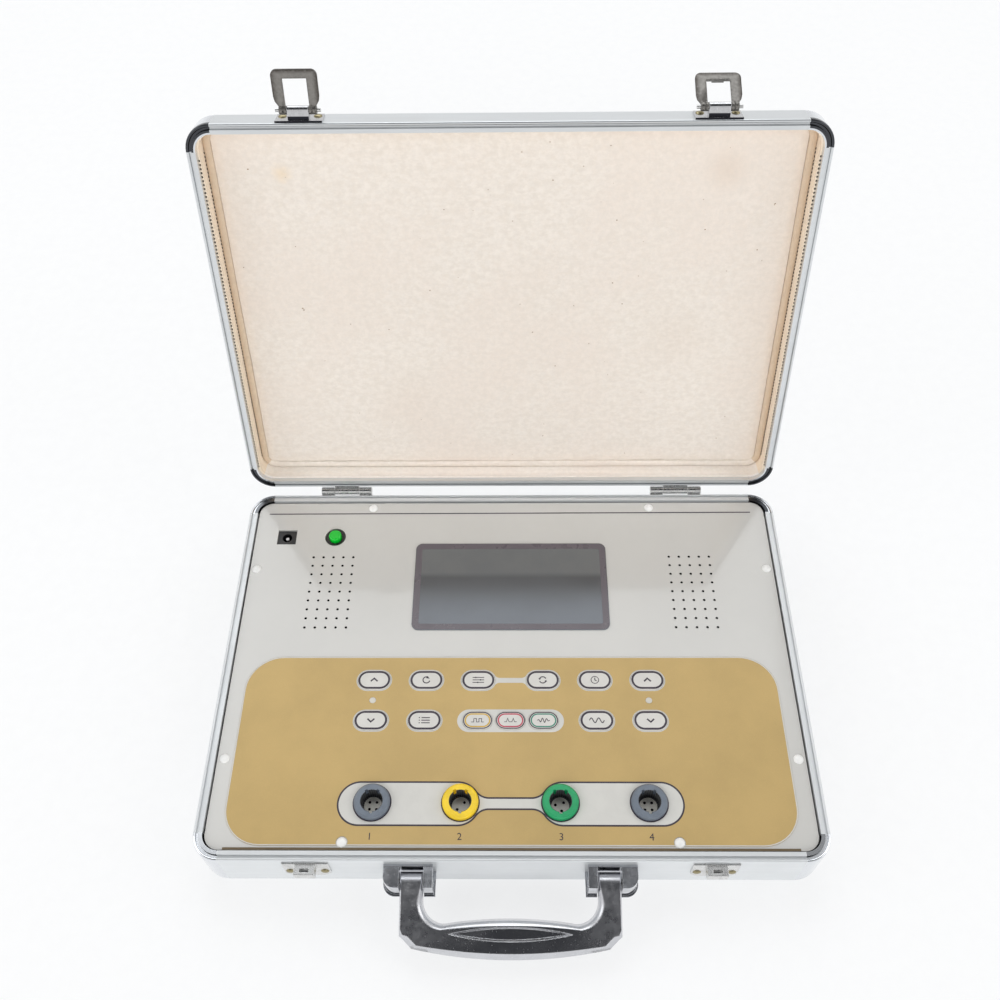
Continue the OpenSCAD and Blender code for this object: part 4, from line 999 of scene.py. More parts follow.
def handle_place(x, v, n):
    """A place on the handle, in millimetres: across, out from the pivot, up from its middle plane."""
    y = HANDLE_PIVOT[0] - math.cos(HANDLE_DROOP) * v - math.sin(HANDLE_DROOP) * n
    z = HANDLE_PIVOT[1] - math.sin(HANDLE_DROOP) * v + math.cos(HANDLE_DROOP) * n
    return Vector((x, y, z)) * MM


def handle_section(wide, bevel, shoulder, count=5):
    """Section from the outer face over the top to the inner face and back under."""
    top, edge = HANDLE_THICK / 2, 0.6
    points = [(0, -top + edge), (0, top - bevel), (bevel, top)]
    points += [(wide - shoulder + shoulder * math.sin(a), top - shoulder + shoulder * math.cos(a))
               for a in [math.radians(90 * i / count) for i in range(count + 1)]]
    points += [(wide, -top + edge), (wide - edge, -top), (edge, -top)]
    return points


def bow_radius(half, rise):
    """Radius of a shallow arc, from half of its chord and its rise."""
    return (half ** 2 + rise ** 2) / (2 * rise)


def lens_outline(at, half, rise):
    """Outline of two shallow arcs that meet in points."""
    radius = bow_radius(half, rise)
    span = math.degrees(math.asin(half / radius))
    upper = arc((0, at + radius - rise), radius, 270 - span, 270 + span, 24)
    lower = arc((0, at - radius + rise), radius, 90 - span, 90 + span, 24)
    return upper + lower[1:-1]


def handle_stations(round_in):
    """Outer and inner points, bevel, shoulder and squeeze of each section along the handle."""
    half, arm, reach, hub = 55.5, 11.2, 36.0, 5.2
    straight, turn_v, front_x, grip_v = 9.1, 25.0, 46.5, 17.5
    bend_x, bend_r, chamfer = 33.3, 11.0, (6.2, 6.0)
    thin, sharp, wide = 0.6, 0.8, 3.2
    bow_r, dip_r = bow_radius(49.3, 5.0), bow_radius(34.0, 2.6)

    def front(x):
        return reach - bow_r + math.sqrt(bow_r ** 2 - x ** 2)

    def inner(x):
        return grip_v + dip_r - math.sqrt(dip_r ** 2 - x ** 2)

    stations = []
    for turn in (80, 60, 40, 20):
        a = math.radians(turn)
        v = -hub * math.sin(a)
        stations.append(((half, v), (half - arm, v), thin, sharp, math.cos(a)))
    for v in (0, 3, 6, straight):
        shoulder = sharp + (round_in - sharp) * v / straight
        stations.append(((half, v), (half - arm, v), thin, shoulder, 1.0))
    bend = arc((bend_x, straight), bend_r, 0, 90, 10)[1:]
    rim = [(half, straight + (turn_v - straight) * i / 5) for i in range(1, 6)]
    rim += [(half - chamfer[0] * i / 4, turn_v + chamfer[1] * i / 4) for i in range(1, 5)]
    rim.append((front_x, front(front_x)))
    for i, (o, inside) in enumerate(zip(rim, bend)):
        bevel = thin + (wide - thin) * min(1.0, max(0.0, (i - 3) / 2))
        stations.append((o, inside, bevel, round_in, 1.0))
    for i in range(1, 13):
        left = 1 - i / 12
        o, inside = front_x * left, bend_x * left
        stations.append(((o, front(o)), (inside, inner(inside)), wide, round_in, 1.0))
    mirrored = [((-o[0], o[1]), (-i[0], i[1]), b, r, s) for o, i, b, r, s in reversed(stations[:-1])]
    return stations + mirrored


def handle_cuts():
    """The lens recess on the grip and the bores for the two pins."""
    hub_x, bore_r, bore_reach = 49.9, 2.1, 8
    cut = bmesh.new()
    rows = []
    lens_v, lens_half, lens_rise = 23.7, 31.0, 3.5
    for sunk in (-1.0, 1.0):
        outline = lens_outline(lens_v, lens_half + 3.0 * sunk, lens_rise + 0.9 * sunk)
        rows.append([cut.verts.new(handle_place(x, v, HANDLE_THICK / 2 + sunk)) for x, v in outline])
    closed(cut, rows)
    bore = arc((0, 0), bore_r, 0, 360, 20)[:-1]
    for side in (-1, 1):
        ends = (side * hub_x - bore_reach, side * hub_x + bore_reach)
        closed(cut, [[cut.verts.new(handle_place(x, v, n)) for v, n in bore] for x in ends])
    return cut


class CASE_OT_handle(bpy.types.Operator):
    """Loft the carrying handle with its bevelled front, round inner shoulder and lens recess"""

    bl_idname = "case.handle"
    bl_label = "Handle"

    def execute(self, context):
        round_in = context.scene.case_metal.handle_shoulder / MM
        bm = bmesh.new()
        rings = []
        for o, i, bevel, shoulder, squeeze in handle_stations(round_in):
            out, into = Vector(o), Vector(i)
            step = (into - out).normalized()
            ring = []
            for across, n in handle_section((into - out).length, bevel, shoulder):
                at = out + step * across
                ring.append(bm.verts.new(handle_place(at.x, at.y, n * squeeze)))
            rings.append(ring)
        closed(bm, rings)
        piece = linked("carry_handle", mesh_from(bm, "carry_handle", ["handle_plate"], 30.0))
        punched(piece, handle_cuts())
        levelled(piece)
        settled(piece)
        carried(piece, "handle", ["handle"])
        return {"FINISHED"}


def flat_piece(bm, name, finishes, sharp=38.0):
    """A thin shape on the panel as a piece of its own."""
    new_piece(name, mesh_from(bm, name, finishes, sharp), "base")


def icon(bm, kind, at, low, high, slot):
    """A plain pictogram on a key."""
    def line(points, wide=0.6):
        stroke(bm, [(at[0] + x, at[1] + y) for x, y in points], wide, low, high, slot)

    def head(tip, back, spread):
        tip, back = Vector(tip), Vector(back)
        side = Vector((back.y - tip.y, tip.x - back.x)).normalized() * spread
        shape = [tip, back + side, back - side]
        print_plate(bm, [(at[0] + p.x, at[1] + p.y) for p in shape], low, high, slot)

    if kind in ("up", "down"):
        turn = 1 if kind == "up" else -1
        line([(-1.9, -0.85 * turn), (0, 0.95 * turn), (1.9, -0.85 * turn)], 0.85)
    elif kind == "reset":
        line(arc((0, 0), 1.9, 60, 345, 22))
        head((1.75, 0.75), (0.1, 1.75), 0.8)
    elif kind == "slide":
        for y, knob in ((1.5, -1.4), (0, 1.2), (-1.5, -0.3)):
            line([(-3.2, y), (3.2, y)], 0.45)
            print_plate(bm, pill((at[0] + knob, at[1] + y), 0.9, 0.85, 6), low, high, slot)
    elif kind == "cycle":
        for turn in (0, 180):
            line(arc((0, 0), 1.9, 25 + turn, 150 + turn, 12))
            a = math.radians(150 + turn)
            tip = (1.9 * math.cos(a + 0.5), 1.9 * math.sin(a + 0.5))
            head(tip, (1.9 * math.cos(a), 1.9 * math.sin(a)), 0.8)
    elif kind == "clock":
        ring = [pill(at, d, d, 14) for d in (4.6, 3.8)]
        print_plate(bm, ring[0], low, high, slot, ring[1])
        line([(0, 1.35), (0, 0), (1.0, -0.6)], 0.5)
    elif kind == "list":
        for y in (1.5, 0, -1.5):
            print_plate(bm, pill((at[0] - 2.7, at[1] + y), 0.7, 0.65, 6), low, high, slot)
            line([(-1.6, y), (3.0, y)], 0.55)
    elif kind == "wave":
        line([(-4 + 8 * i / 40, 1.35 * math.sin(math.tau * 2 * i / 40)) for i in range(41)], 0.55)
    elif kind == "square":
        line([(-3.4, -1), (-2, -1), (-2, 1), (-0.6, 1), (-0.6, -1),
              (0.8, -1), (0.8, 1), (2.2, 1), (2.2, -1), (3.4, -1)], 0.34)
    elif kind == "spike":
        line([(-3.4, -0.9), (-2.2, -0.9), (-1.5, 1.2), (-0.8, -0.9),
              (0.8, -0.9), (1.5, 1.2), (2.2, -0.9), (3.4, -0.9)], 0.34)
    else:
        steps = [i / 60 for i in range(61)]
        swell = [1.3 * math.sin(math.pi * t) * math.sin(math.tau * 3 * t) for t in steps]
        line([(6.8 * t - 3.4, y) for t, y in zip(steps, swell)], 0.42)


class CASE_OT_keys(bpy.types.Operator):
    """Make each key cap with its printed ring and pictogram"""

    bl_idname = "case.keys"
    bl_label = "Keys"

    def execute(self, context):
        looks = context.scene.case_panel
        ring, deep = looks.ring / MM, 2.6
        levels = ((0.0, -deep), (0.0, -0.35), (0.1, -0.12), (0.3, 0.0))
        for node, kind in KEY_ROWS.items():
            low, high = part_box(node)
            at, top = middle(node), high.z / MM
            bm = bmesh.new()
            rows = [[bm.verts.new((x * MM, y * MM, (top + z) * MM)) for x, y in key_outline(node, -inset)]
                    for inset, z in levels]
            closed(bm, rows)
            print_plate(bm, pill(at, 5.0, 5.0, 10), low.z / MM, top - deep, 0)
            skin = (top - 0.05, top + 0.02)
            bands = ((0.3, 0.6, 1), (1.2, 0.75, 2)) if node in TINTS else ((0.4, ring, 1),)
            for start, width, slot in bands:
                print_plate(bm, key_outline(node, -start), *skin, slot, key_outline(node, -start - width))
            icon(bm, kind, at, *skin, 1)
            mesh = mesh_from(bm, node + "_cap", ["key_ivory", "dark_ink_and_shadow", TINTS.get(node, "dark_ink_and_shadow")], 30.0)
            new_piece(node + "_cap", mesh, BODY_OF[node], [node])
        return {"FINISHED"}


def inked(top, proud=0.02):
    """Lower and upper level of a print on a face, in millimetres."""
    return top - 0.1, top + proud


def film_print(looks):
    """Halos, pads and outlines printed on the gold film, and a dark ring of painted shadow round each collar."""
    low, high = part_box("keypad_film")
    film = high.z / MM
    pale, dark = inked(film), inked(film, 0.035)
    halo, line = looks.halo / MM, looks.outline / MM
    bm = bmesh.new()
    size, at = (high - low) / MM, (high + low) / 2 / MM
    edge = [rounded_box(at, size.x - 2 * d, size.y - 2 * d, 20.0 - d, 10) for d in (0.05, 0.55)]
    print_plate(bm, edge[0], *pale, 0, edge[1])
    for node in KEY_ROWS:
        if node not in TINTS and node not in PAIRED_KEYS:
            print_plate(bm, key_outline(node, halo), *pale, 0, key_outline(node, KEY_GAP))
    left, right = (middle(n) for n in PAIRED_KEYS)
    long, wide = KEY_SIZE
    apart, end = 17.9, (long - wide) / 2
    pair = bridged(((left.x + right.x) / 2, left.y), apart - end, wide / 2 + halo, 1.5, 3.2, apart + end)
    print_sheet(bm, pair, [key_outline(n, KEY_GAP) for n in PAIRED_KEYS], *pale, 0)
    group = pill(middle("key_red"), 58.0, 13.2, 18)
    print_sheet(bm, group, [key_outline(n, KEY_GAP) for n in TINTS], *pale, 0)
    centre = (0, middle("out1_socket").y - 0.45)
    far, tip, pad_r, neck, fillet = 27.3, 78.1, 11.85, 3.4, 8.0
    pad = [bridged(centre, far, pad_r - d, neck - d, fillet + d, tip, 20) for d in (0.0, line)]
    print_plate(bm, pad[0], *dark, 1, pad[1])
    bore, collar_shadow_in, collar_shadow_out = 16.4, 18.0, 20.2
    # Painted shadow: a dark ring round each output collar.
    for node in SOCKETS:
        at = middle(node)
        print_plate(bm, pill(at, collar_shadow_out, collar_shadow_out, 20), *dark, 1, pill(at, collar_shadow_in, collar_shadow_in, 20))
    print_sheet(bm, pad[1], [pill(middle(n), bore, bore, 16) for n in SOCKETS], *pale, 0)
    flat_piece(bm, "film_print", ["ink_pale", "dark_ink_and_shadow"], 30.0)


def plate_edges():
    """The panel's tight corners, its hairline and a brown strip of painted shade at its front edge."""
    bm = bmesh.new()
    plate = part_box("panel_plate")[1].z / MM
    edge_x, edge_y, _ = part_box("panel_plate")[1] / MM
    plate_r, tight_r = 12.0, 8.2
    under = arc((edge_x - plate_r, edge_y - plate_r), plate_r - 0.3, 0, 90, 12)
    tight = arc((edge_x - tight_r, edge_y - tight_r), tight_r, 90, 0, 12)
    for sx in (-1, 1):
        for sy in (-1, 1):
            corner = [(sx * x, sy * y) for x, y in under + tight]
            print_sheet(bm, corner, [], plate - 0.9, plate - 0.03, 0)
    flat_piece(bm, "panel_corners", ["panel_gloss"])
    front = 0.65 - edge_y
    for name, ends, wide, ink in (
        ("panel_hairline", [(-150, 99.6), (148, 100.3)], 0.75, "dark_ink_and_shadow"),
        # Painted shade for the dark gap along the panel's front edge.
        ("panel_front_gap_shade", [(-146, front), (146, front)], 1.25, "gap_shade_brown"),
    ):
        bm = bmesh.new()
        stroke(bm, ends, wide, *inked(plate), 0)
        flat_piece(bm, name, [ink])


def lens_print(looks):
    """The border printed on the display lens."""
    bm = bmesh.new()
    low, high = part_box("lcd_lens")
    size, at = (high - low) / MM, (high + low) / 2 / MM
    wide = looks.lens_border / MM
    outer = rounded_box(at, size.x - 0.5, size.y - 0.5, 3.8, 8)
    inner = rounded_box(at, size.x - 2 * wide, size.y - 2 * wide, 1.2, 8)
    print_plate(bm, outer, *inked(high.z / MM), 0, inner)
    flat_piece(bm, "lens_border", ["lens_border"])


def output_numbers():
    """A plain digit under each output."""
    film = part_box("keypad_film")[1].z / MM
    for number, node in enumerate(SOCKETS, 1):
        letters = bpy.data.curves.new("output_%d" % number, "FONT")
        letters.body = str(number)
        letters.size = 5.2 * MM
        letters.extrude = 0.03 * MM
        letters.align_x, letters.align_y = "CENTER", "CENTER"
        flat = linked("number_source", letters)
        mesh = evaluated(flat)
        bpy.data.objects.remove(flat)
        mesh.transform(Matrix.Translation((middle(node).x * MM, NUMBER_Y * MM, film * MM)))
        mesh.materials.clear()
        mesh.materials.append(FINISHES["dark_ink_and_shadow"])
        new_piece("output_number_%d" % number, mesh, "base")


class CASE_OT_panel(bpy.types.Operator):
    """Finish the panel and print the gold film, pads, outlines, numbers and the display border"""

    bl_idname = "case.panel"
    bl_label = "Panel and prints"

    def execute(self, context):
        looks = context.scene.case_panel
        dress("panel_gloss", "panel_plate")
        dress("gold_ink", "keypad_film")
        dress("lens_glass", "lcd_lens")
        dress("contact_cream", "socket_inserts")
        dress("lamp_lens", "status_leds")
        softened("power_button", "power_cap", 0.5 * MM, 3)
        for number, node in enumerate(SOCKETS, 1):
            dress("collar_%d" % number, node)
        film_print(looks)
        plate_edges()
        lens_print(looks)
        output_numbers()
        return {"FINISHED"}


def lid_loop(inset, count=8):
    """Outline in the lid at an inset from its outer faces: across and up from the hinge axis."""
    radius = max(CORNER_R - inset, 1.2)
    outline = rounded_box((0, 0), CASE_W - 2 * inset, CASE_D - 2 * inset, radius, count)
    return [(x, LID_MIDDLE - y) for x, y in outline]


def lid_ring(section, name, finish, uneven=0.0):
    """A band swept round the lid from a closed section of insets and depths."""
    bm = bmesh.new()
    rows = []
    for inset, depth in section:
        row = []
        for x, s in lid_loop(inset, 8):
            row.append(bm.verts.new(lid_point(x, s, depth + uneven * math.sin(x * 0.11 + s * 0.17))))
        rows.append(row)
    rows.append(rows[0])
    for a, b in zip(rows, rows[1:]):
        skirt(bm, a, b)
    return mesh_from(bm, name, [finish], 60.0)


def sided(mesh, finish):
    """Gives the hinge and front runs of a ring round the lid a finish of their own."""
    mesh.materials.append(FINISHES[finish])
    foot, rise = lid_point(0, 0, 0), lid_rise()
    for face in mesh.polygons:
        height = (face.center - foot).dot(rise) / MM
        if CASE_D / 2 - abs(LID_MIDDLE - height) < CASE_W / 2 - abs(face.center.x) / MM:
            face.material_index = 1
    return mesh


def cover_board(looks):
    """The suede over the lid's board, with a faint swell, dips and a rolled edge."""
    face, inset = 14.75, 9.2
    puff, sag = looks.puff / MM, looks.sag / MM
    wide, tall = CASE_W / 2 - inset, CASE_D / 2 - inset
    cols, rows = 104, 72
    bm = bmesh.new()

    def front(i, j):
        x, y = (2 * i / cols - 1) * wide, (2 * j / rows - 1) * tall
        rim = min(wide - abs(x), tall - abs(y))
        roll = 1.1 * max(0.0, 1 - rim / 2.4) ** 2
        swell = puff * min(1.0, rim / 14.0)
        dips = math.sin(x * 0.041 + 1.3) * math.sin(y * 0.057 - 0.4)
        dips += 0.5 * math.sin(x * 0.093 - y * 0.071)
        pull = 0.22 * math.sin(x * 0.42) * math.exp(-rim / 5.0)
        return lid_point(x, LID_MIDDLE - y, face + roll - swell + sag * 0.6 * dips + pull)

    def rear(i, j):
        x, y = (2 * i / cols - 1) * wide, (2 * j / rows - 1) * tall
        return lid_point(x, LID_MIDDLE - y, LINING_BACK)

    top = [[bm.verts.new(front(i, j)) for j in range(rows + 1)] for i in range(cols + 1)]
    for i in range(cols):
        for j in range(rows):
            bm.faces.new((top[i][j], top[i + 1][j], top[i + 1][j + 1], top[i][j + 1]))
    walk = [(i, 0) for i in range(cols)] + [(cols, j) for j in range(rows)]
    walk += [(i, rows) for i in range(cols, 0, -1)] + [(0, j) for j in range(rows, 0, -1)]
    edge = [top[i][j] for i, j in walk]
    foot = [bm.verts.new(rear(i, j)) for i, j in walk]
    skirt(bm, edge, foot)
    bm.faces.new(foot)
    board_cover = new_piece("lining_cover", mesh_from(bm, "lining_cover", ["lining_suede"], 60.0), "lid",
                            ["lid_lining"])


def cover_sides():
    """The strip beside the board and the covered walls round it."""
    strip = [(4.95, LINING_BACK), (4.95, 15.3), (5.3, 14.8), (6.2, 14.55), (7.2, 14.5), (8.2, 14.6),
             (8.8, 14.95), (9.05, 15.5), (9.05, LINING_BACK)]
    trim = sided(lid_ring(strip, "lining_trim", "trim_tan", 0.08), "lining_suede")
    new_piece("lining_trim", trim, "lid", ["lid_trim"])
    side = [(3.65, LINING_BACK), (3.65, 3.6), (3.9, 3.48), (5.3, 3.48), (5.75, 3.7), (5.7, 4.3), (5.0, 4.9),
            (4.85, 9.0), (4.85, LINING_BACK)]
    # The hinge and front runs take the lighter copy of the suede, as painted light.
    wall = sided(lid_ring(side, "lining_wall", "trim_suede"), "wall_lit_pale")
    new_piece("lining_wall", wall, "lid", ["lid_side_lining"])


def stitch_seams(looks):
    """Dark thread along the side seams."""
    step, seam_foot, seam_run = looks.stitch / MM, 17.0, 197.0
    spots = []
    for hand in (-1, 1):
        for inset_at, depth in ((5.3, 3.45), (5.0, 14.7)):
            across = hand * (CASE_W / 2 - inset_at)
            spots += [(lid_point(across, seam_foot + step * k, depth), lid_rise())
                      for k in range(int(seam_run / step))]
    heads("lining_stitches", spots, 0.3 * MM, 0.3 * step * MM, "seam_thread", "lid", [], (6, 4))


class CASE_OT_lining(bpy.types.Operator):
    """Cover the lid's board, trim and side walls in suede"""

    bl_idname = "case.lining"
    bl_label = "Lid lining"

    def execute(self, context):
        looks = context.scene.case_lining
        cover_board(looks)
        cover_sides()
        stitch_seams(looks)
        return {"FINISHED"}


def mesh_tree(name, inputs):
    """A new geometry tree: itself, what adds and joins its nodes, and its two ends."""
    tree = bpy.data.node_groups.new(name, "GeometryNodeTree")
    for label, kind in (("Geometry", "Geometry"), *inputs):
        tree.interface.new_socket(label, in_out="INPUT", socket_type="NodeSocket" + kind)
    tree.interface.new_socket("Geometry", in_out="OUTPUT", socket_type="NodeSocketGeometry")
    new = tree.nodes.new
    return tree, new, tree.links.new, new("NodeGroupInput"), new("NodeGroupOutput")


def grown(name, mesh, tree, values):
    """A piece made by a geometry tree from a mesh and the tree's named values."""
    piece = linked(name, mesh)
    modifier = piece.modifiers.new("Grow", "NODES")
    modifier.node_group = tree
    named = {s.name: s.identifier for s in tree.interface.items_tree if s.in_out == "INPUT"}
    for label, value in values.items():
        modifier[named[label]] = value
    settled(piece)
    return piece


def plant(new, join, points, shape, turn, size, finish, smooth, sink):
    """Adds the nodes that set a shape on points, turned, sized and finished."""
    place, real = new("GeometryNodeInstanceOnPoints"), new("GeometryNodeRealizeInstances")
    for value, label in ((points, "Points"), (shape, "Instance"), (turn, "Rotation"), (size, "Scale")):
        join(value, place.inputs[label])
    soft, coat = new("GeometryNodeSetShadeSmooth"), new("GeometryNodeSetMaterial")
    soft.inputs["Shade Smooth"].default_value = smooth
    coat.inputs["Material"].default_value = FINISHES[finish]
    for before, after in ((place, real), (real, soft), (soft, coat), (coat, sink)):
        join(before.outputs[0], after.inputs[0])


def repeat_tree(name, finish, detail):
    """Nodes that set a source shape on every point, aimed along the point's own direction."""
    tree, new, join, source, sink = mesh_tree(name, (("Head radius", "Float"), ("Dome", "Float")))
    ball = new("GeometryNodeMeshUVSphere")
    ball.inputs["Segments"].default_value = detail[0]
    ball.inputs["Rings"].default_value = detail[1]
    ball.inputs["Radius"].default_value = 1.0
    size = new("ShaderNodeCombineXYZ")
    for axis, label in (("X", "Head radius"), ("Y", "Head radius"), ("Z", "Dome")):
        join(source.outputs[label], size.inputs[axis])
    aim = new("GeometryNodeInputNamedAttribute")
    aim.data_type = "FLOAT_VECTOR"
    aim.inputs["Name"].default_value = "aim"
    turn = new("FunctionNodeAlignRotationToVector")
    turn.axis = "Z"
    join(aim.outputs["Attribute"], turn.inputs["Vector"])
    plant(new, join, source.outputs["Geometry"], ball.outputs["Mesh"], turn.outputs["Rotation"],
          size.outputs[0], finish, True, sink)
    return tree


def heads(name, spots, radius, dome, finish, body, nodes, detail=(20, 10)):
    """Domed heads at the given places, each with the direction it faces."""
    mesh = bpy.data.meshes.new(name)
    mesh.from_pydata([tuple(at) for at, _ in spots], [], [])
    aim = mesh.attributes.new("aim", "FLOAT_VECTOR", "POINT")
    aim.data.foreach_set("vector", [c for _, way in spots for c in way])
    tree = repeat_tree(name + "_nodes", finish, detail)
    piece = grown(name, mesh, tree, {"Head radius": radius, "Dome": dome})
    carried(piece, body, nodes)


def islands(node):
    """The separate solids of a CAD node as lists of points."""
    bm = bmesh.new()
    bm.from_mesh(NODES[node].data)
    bmesh.ops.remove_doubles(bm, verts=bm.verts, dist=WELD)
    left, groups = set(bm.verts), []
    while left:
        front, found = [left.pop()], []
        while front:
            v = front.pop()
            found.append(v.co.copy())
            for e in v.link_edges:
                other = e.other_vert(v)
                if other in left:
                    left.discard(other)
                    front.append(other)
        groups.append(found)
    bm.free()
    return groups


class CASE_OT_fixings(bpy.types.Operator):
    """Set domed heads on the rivets and the panel screws"""

    bl_idname = "case.fixings"
    bl_label = "Rivets and screws"

    def execute(self, context):
        jobs = (("base_rivets", "rivet_brass", 2.2, 0.9, Vector((0, 1, 0)), (1, 0.0)),
                ("lid_rivets", "rivet_brass", 2.2, 0.9, lid_rise(), (2, 0.15)),
                ("panel_screws", "white_cap", 2.75, 1.15, Vector((0, 0, 1)), None))
        for node, finish, radius, dome, axis, split in jobs:
            spots = []
            for points in islands(node):
                centre = sum(points, Vector()) / len(points)
                turned = split and centre[split[0]] <= split[1]
                way = -axis if turned else axis
                top = max(points, key=lambda p: p.dot(way)).dot(way)
                line = [(min(p[i] for p in points) + max(p[i] for p in points)) / 2 for i in range(3)]
                seat = Vector(line)
                seat += way * (top - dome * MM - seat.dot(way))
                spots.append((seat, way))
            heads(node + "_heads", spots, radius * MM, dome * MM, finish, BODY_OF[node], [node])
        return {"FINISHED"}


def fleck_tree():
    """Nodes that scatter small flat grains over a face."""
    inputs = (("Count", "Float"), ("Seed", "Int"), ("Fleck size", "Float"))
    tree, new, join, source, sink = mesh_tree("Flecks in nap", inputs)
    scatter = new("GeometryNodeDistributePointsOnFaces")
    join(source.outputs["Geometry"], scatter.inputs["Mesh"])
    join(source.outputs["Count"], scatter.inputs["Density"])
    join(source.outputs["Seed"], scatter.inputs["Seed"])
    shape = new("GeometryNodeMeshIcoSphere")
    shape.inputs["Subdivisions"].default_value = 1
    shape.inputs["Radius"].default_value = 1.0
    flat = new("GeometryNodeTransform")
    flat.inputs["Scale"].default_value = (1.0, 0.6, 0.35)
    join(shape.outputs[0], flat.inputs["Geometry"])
    spread = new("FunctionNodeRandomValue")
    spread.inputs[2].default_value = 0.5
    spread.inputs[3].default_value = 1.5
    join(source.outputs["Seed"], spread.inputs["Seed"])
    size = new("ShaderNodeMath")
    size.operation = "MULTIPLY"
    join(spread.outputs[1], size.inputs[0])
    join(source.outputs["Fleck size"], size.inputs[1])
    plant(new, join, scatter.outputs["Points"], flat.outputs[0], scatter.outputs["Rotation"],
          size.outputs[0], "fleck", False, sink)
    return tree


class CASE_OT_flecks(bpy.types.Operator):
    """Scatter brown flecks caught in the suede"""

    bl_idname = "case.flecks"
    bl_label = "Flecks"

    def execute(self, context):
        looks = context.scene.case_lining
        plastic("fleck", tone(150, 118, 84), 0.8)
        half, foot, head = 148, 16, 216
        corners = ((-half, foot), (half, foot), (half, head), (-half, head))
        mesh = bpy.data.meshes.new("lining_flecks")
        mesh.from_pydata([lid_point(x, s, 14.2) for x, s in corners], [], [(0, 1, 2, 3)])
        area = 2 * half * (head - foot) * MM ** 2
        values = {"Count": looks.specks / area, "Seed": looks.seed, "Fleck size": 0.36 * MM}
        piece = grown("lining_flecks", mesh, fleck_tree(), values)
        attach(piece, "lid")
        return {"FINISHED"}


def area_light(name, at, size, power):
    """A soft light that points down and is not seen by the camera."""
    lamp = bpy.data.lights.new(name, "AREA")
    lamp.size, lamp.energy = size, power
    light = linked(name, lamp)
    light.location = at
    light.visible_camera = False
    return light


def set_camera(scene, looks):
    """The camera, turned from its pitch, yaw and roll."""
    pitch, yaw, roll = (math.radians(a) for a in (looks.pitch, looks.yaw, looks.roll))
    low, flat = math.sin(pitch), math.cos(pitch)
    look = Matrix(((1, 0, 0), (0, -low, -flat), (0, flat, -low)))
    rows = Matrix.Rotation(roll, 3, "Z") @ look @ Matrix.Rotation(yaw, 3, "Z")
    turn = Matrix((rows[0], -rows[1], -rows[2])).transposed()
    lens = bpy.data.cameras.new("View")
    lens.lens, lens.sensor_width, lens.clip_start = looks.lens, 36.0, 0.01
    camera = linked("View", lens)
    camera.matrix_world = Matrix.Translation(looks.camera_at) @ turn.to_4x4()
    scene.camera = camera
    scene.view_settings.view_transform = "Standard"


def set_floor(looks):
    """The seamless floor, which gives off some light of its own."""
    bm = bmesh.new()
    bmesh.ops.create_grid(bm, x_segments=8, y_segments=8, size=6.0)
    floor = bpy.data.meshes.new("floor")
    bm.to_mesh(floor)
    bm.free()
    plastic("floor_paper", scaled(looks.floor, 1 - looks.glow), 0.7, vary=0.01, wear=0.0)
    paper = FINISHES["floor_paper"].node_tree.nodes["Principled BSDF"]
    paper.inputs["Emission Color"].default_value = (0.972, 0.977, 0.982, 1.0)
    paper.inputs["Emission Strength"].default_value = looks.glow
    floor.materials.append(FINISHES["floor_paper"])
    ground = linked("floor", floor)
    ground.location.z = CAD_BOX[0].z - 0.0002


def set_room(scene, looks):
    """A white room with one dark patch of sky."""
    world = bpy.data.worlds.new("Room")
    scene.world = world
    world.use_nodes = True
    w = Wiring(world.node_tree)
    way = w.add("TexCoord").outputs["Generated"]
    dim = w.remap(w.along(way, DARK_SKY), 0.78, 0.88)
    sky = world.node_tree.nodes["Background"]
    w.feed(w.mix(dim, (1.0, 1.0, 1.0), (0.062, 0.064, 0.07)), sky.inputs["Color"])
    sky.inputs["Strength"].default_value = looks.ambient


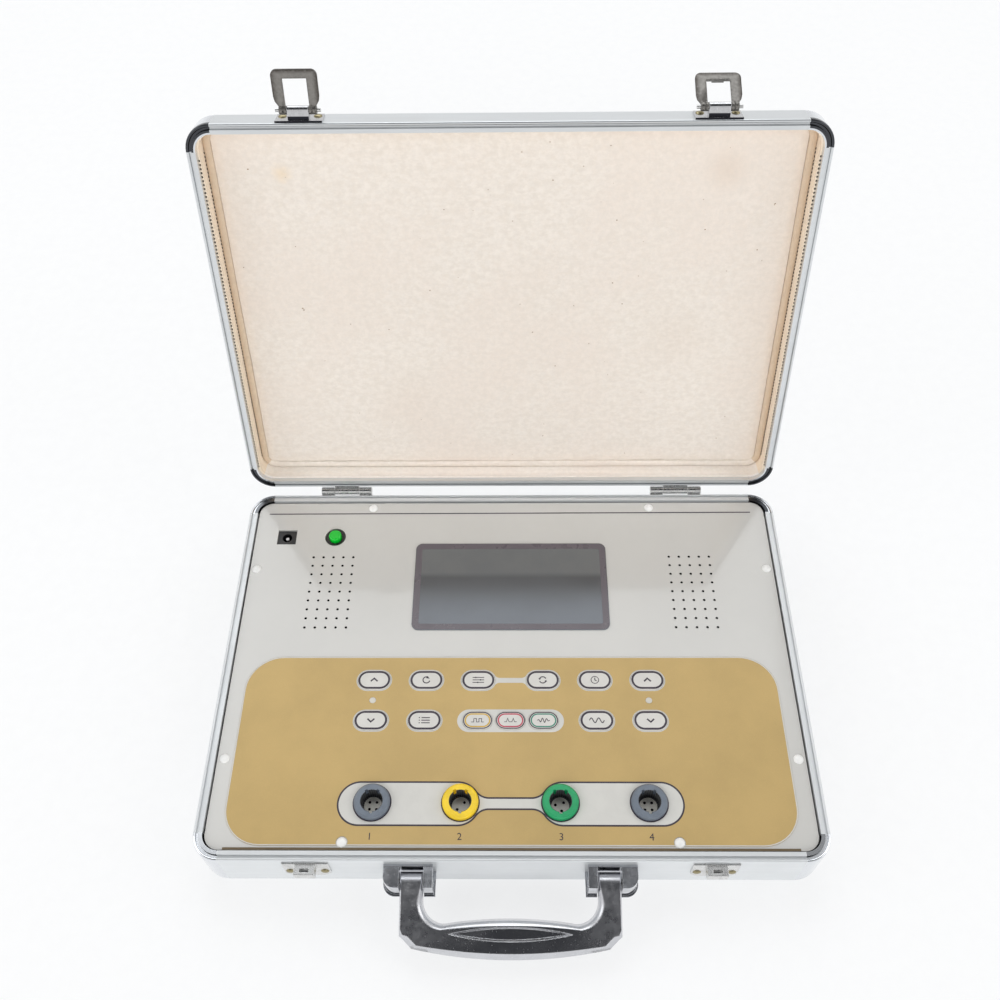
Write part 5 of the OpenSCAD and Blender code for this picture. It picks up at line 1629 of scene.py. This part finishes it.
def set_lights(looks):
    """The soft lights round the case and the small one over its hinges."""
    boxes = (("Back softbox", (-0.1, 1.0, 1.35), 1.3, looks.softbox, (0.95, 0.98, 1.0)),
             ("Left softbox", (-1.3, -0.2, 0.9), 0.9, looks.fill, (1.0, 1.0, 1.0)),
             ("Right softbox", (1.3, -0.1, 0.9), 0.9, looks.fill, (1.0, 0.99, 0.98)),
             ("Front softbox", (0.0, -1.7, 0.75), 1.4, looks.front, (1.0, 1.0, 1.0)))
    for name, at, size, power, colour in boxes:
        light = area_light(name, at, size, power)
        light.data.color = colour
        light.rotation_euler = (LIGHTS_AIM - Vector(at)).to_track_quat("-Z", "Y").to_euler()
        light.visible_glossy = name != "Front softbox"
    light = area_light("Hinge light", (0.0, 0.118, 0.33), 0.3, looks.hinge)
    light.data.shape, light.data.size_y, light.data.spread = "RECTANGLE", 0.03, math.radians(26)
    light.visible_glossy = False


class CASE_OT_stage(bpy.types.Operator):
    """Set the camera, the seamless floor and the soft lights"""

    bl_idname = "case.stage"
    bl_label = "Stage"

    def execute(self, context):
        looks = context.scene.case_stage
        set_camera(context.scene, looks)
        set_floor(looks)
        set_room(context.scene, looks)
        set_lights(looks)
        return {"FINISHED"}


STEPS = (CASE_OT_finishes, CASE_OT_shell, CASE_OT_latches, CASE_OT_handle, CASE_OT_panel, CASE_OT_keys,
         CASE_OT_lining, CASE_OT_fixings, CASE_OT_flecks, CASE_OT_stage)
GROUPS = {"case_metal": MetalLooks, "case_panel": PanelLooks, "case_lining": LiningLooks,
          "case_stage": StageLooks}


class CASE_PT_looks(bpy.types.Panel):
    """Every step and its values in the sidebar"""

    bl_idname = "CASE_PT_looks"
    bl_label = "Case unit looks"
    bl_space_type = "VIEW_3D"
    bl_region_type = "UI"
    bl_category = "Case unit"

    def draw(self, context):
        for step in STEPS:
            self.layout.operator(step.bl_idname)
        for label, group in GROUPS.items():
            box = self.layout.box()
            for field in group.__annotations__:
                box.prop(getattr(context.scene, label), field)


def register():
    for part in (*GROUPS.values(), *STEPS, CASE_PT_looks):
        bpy.utils.register_class(part)
    for label, group in GROUPS.items():
        setattr(bpy.types.Scene, label, PointerProperty(type=group))


def unregister():
    for label in GROUPS:
        delattr(bpy.types.Scene, label)
    for part in reversed((*GROUPS.values(), *STEPS, CASE_PT_looks)):
        bpy.utils.unregister_class(part)


def main():
    register()
    bpy.ops.case.finishes()
    bpy.ops.case.shell()
    bpy.ops.case.latches()
    bpy.ops.case.handle()
    bpy.ops.case.panel()
    bpy.ops.case.keys()
    bpy.ops.case.lining()
    bpy.ops.case.fixings()
    bpy.ops.case.flecks()
    bpy.ops.case.stage()


if __name__ == "__main__":
    main()
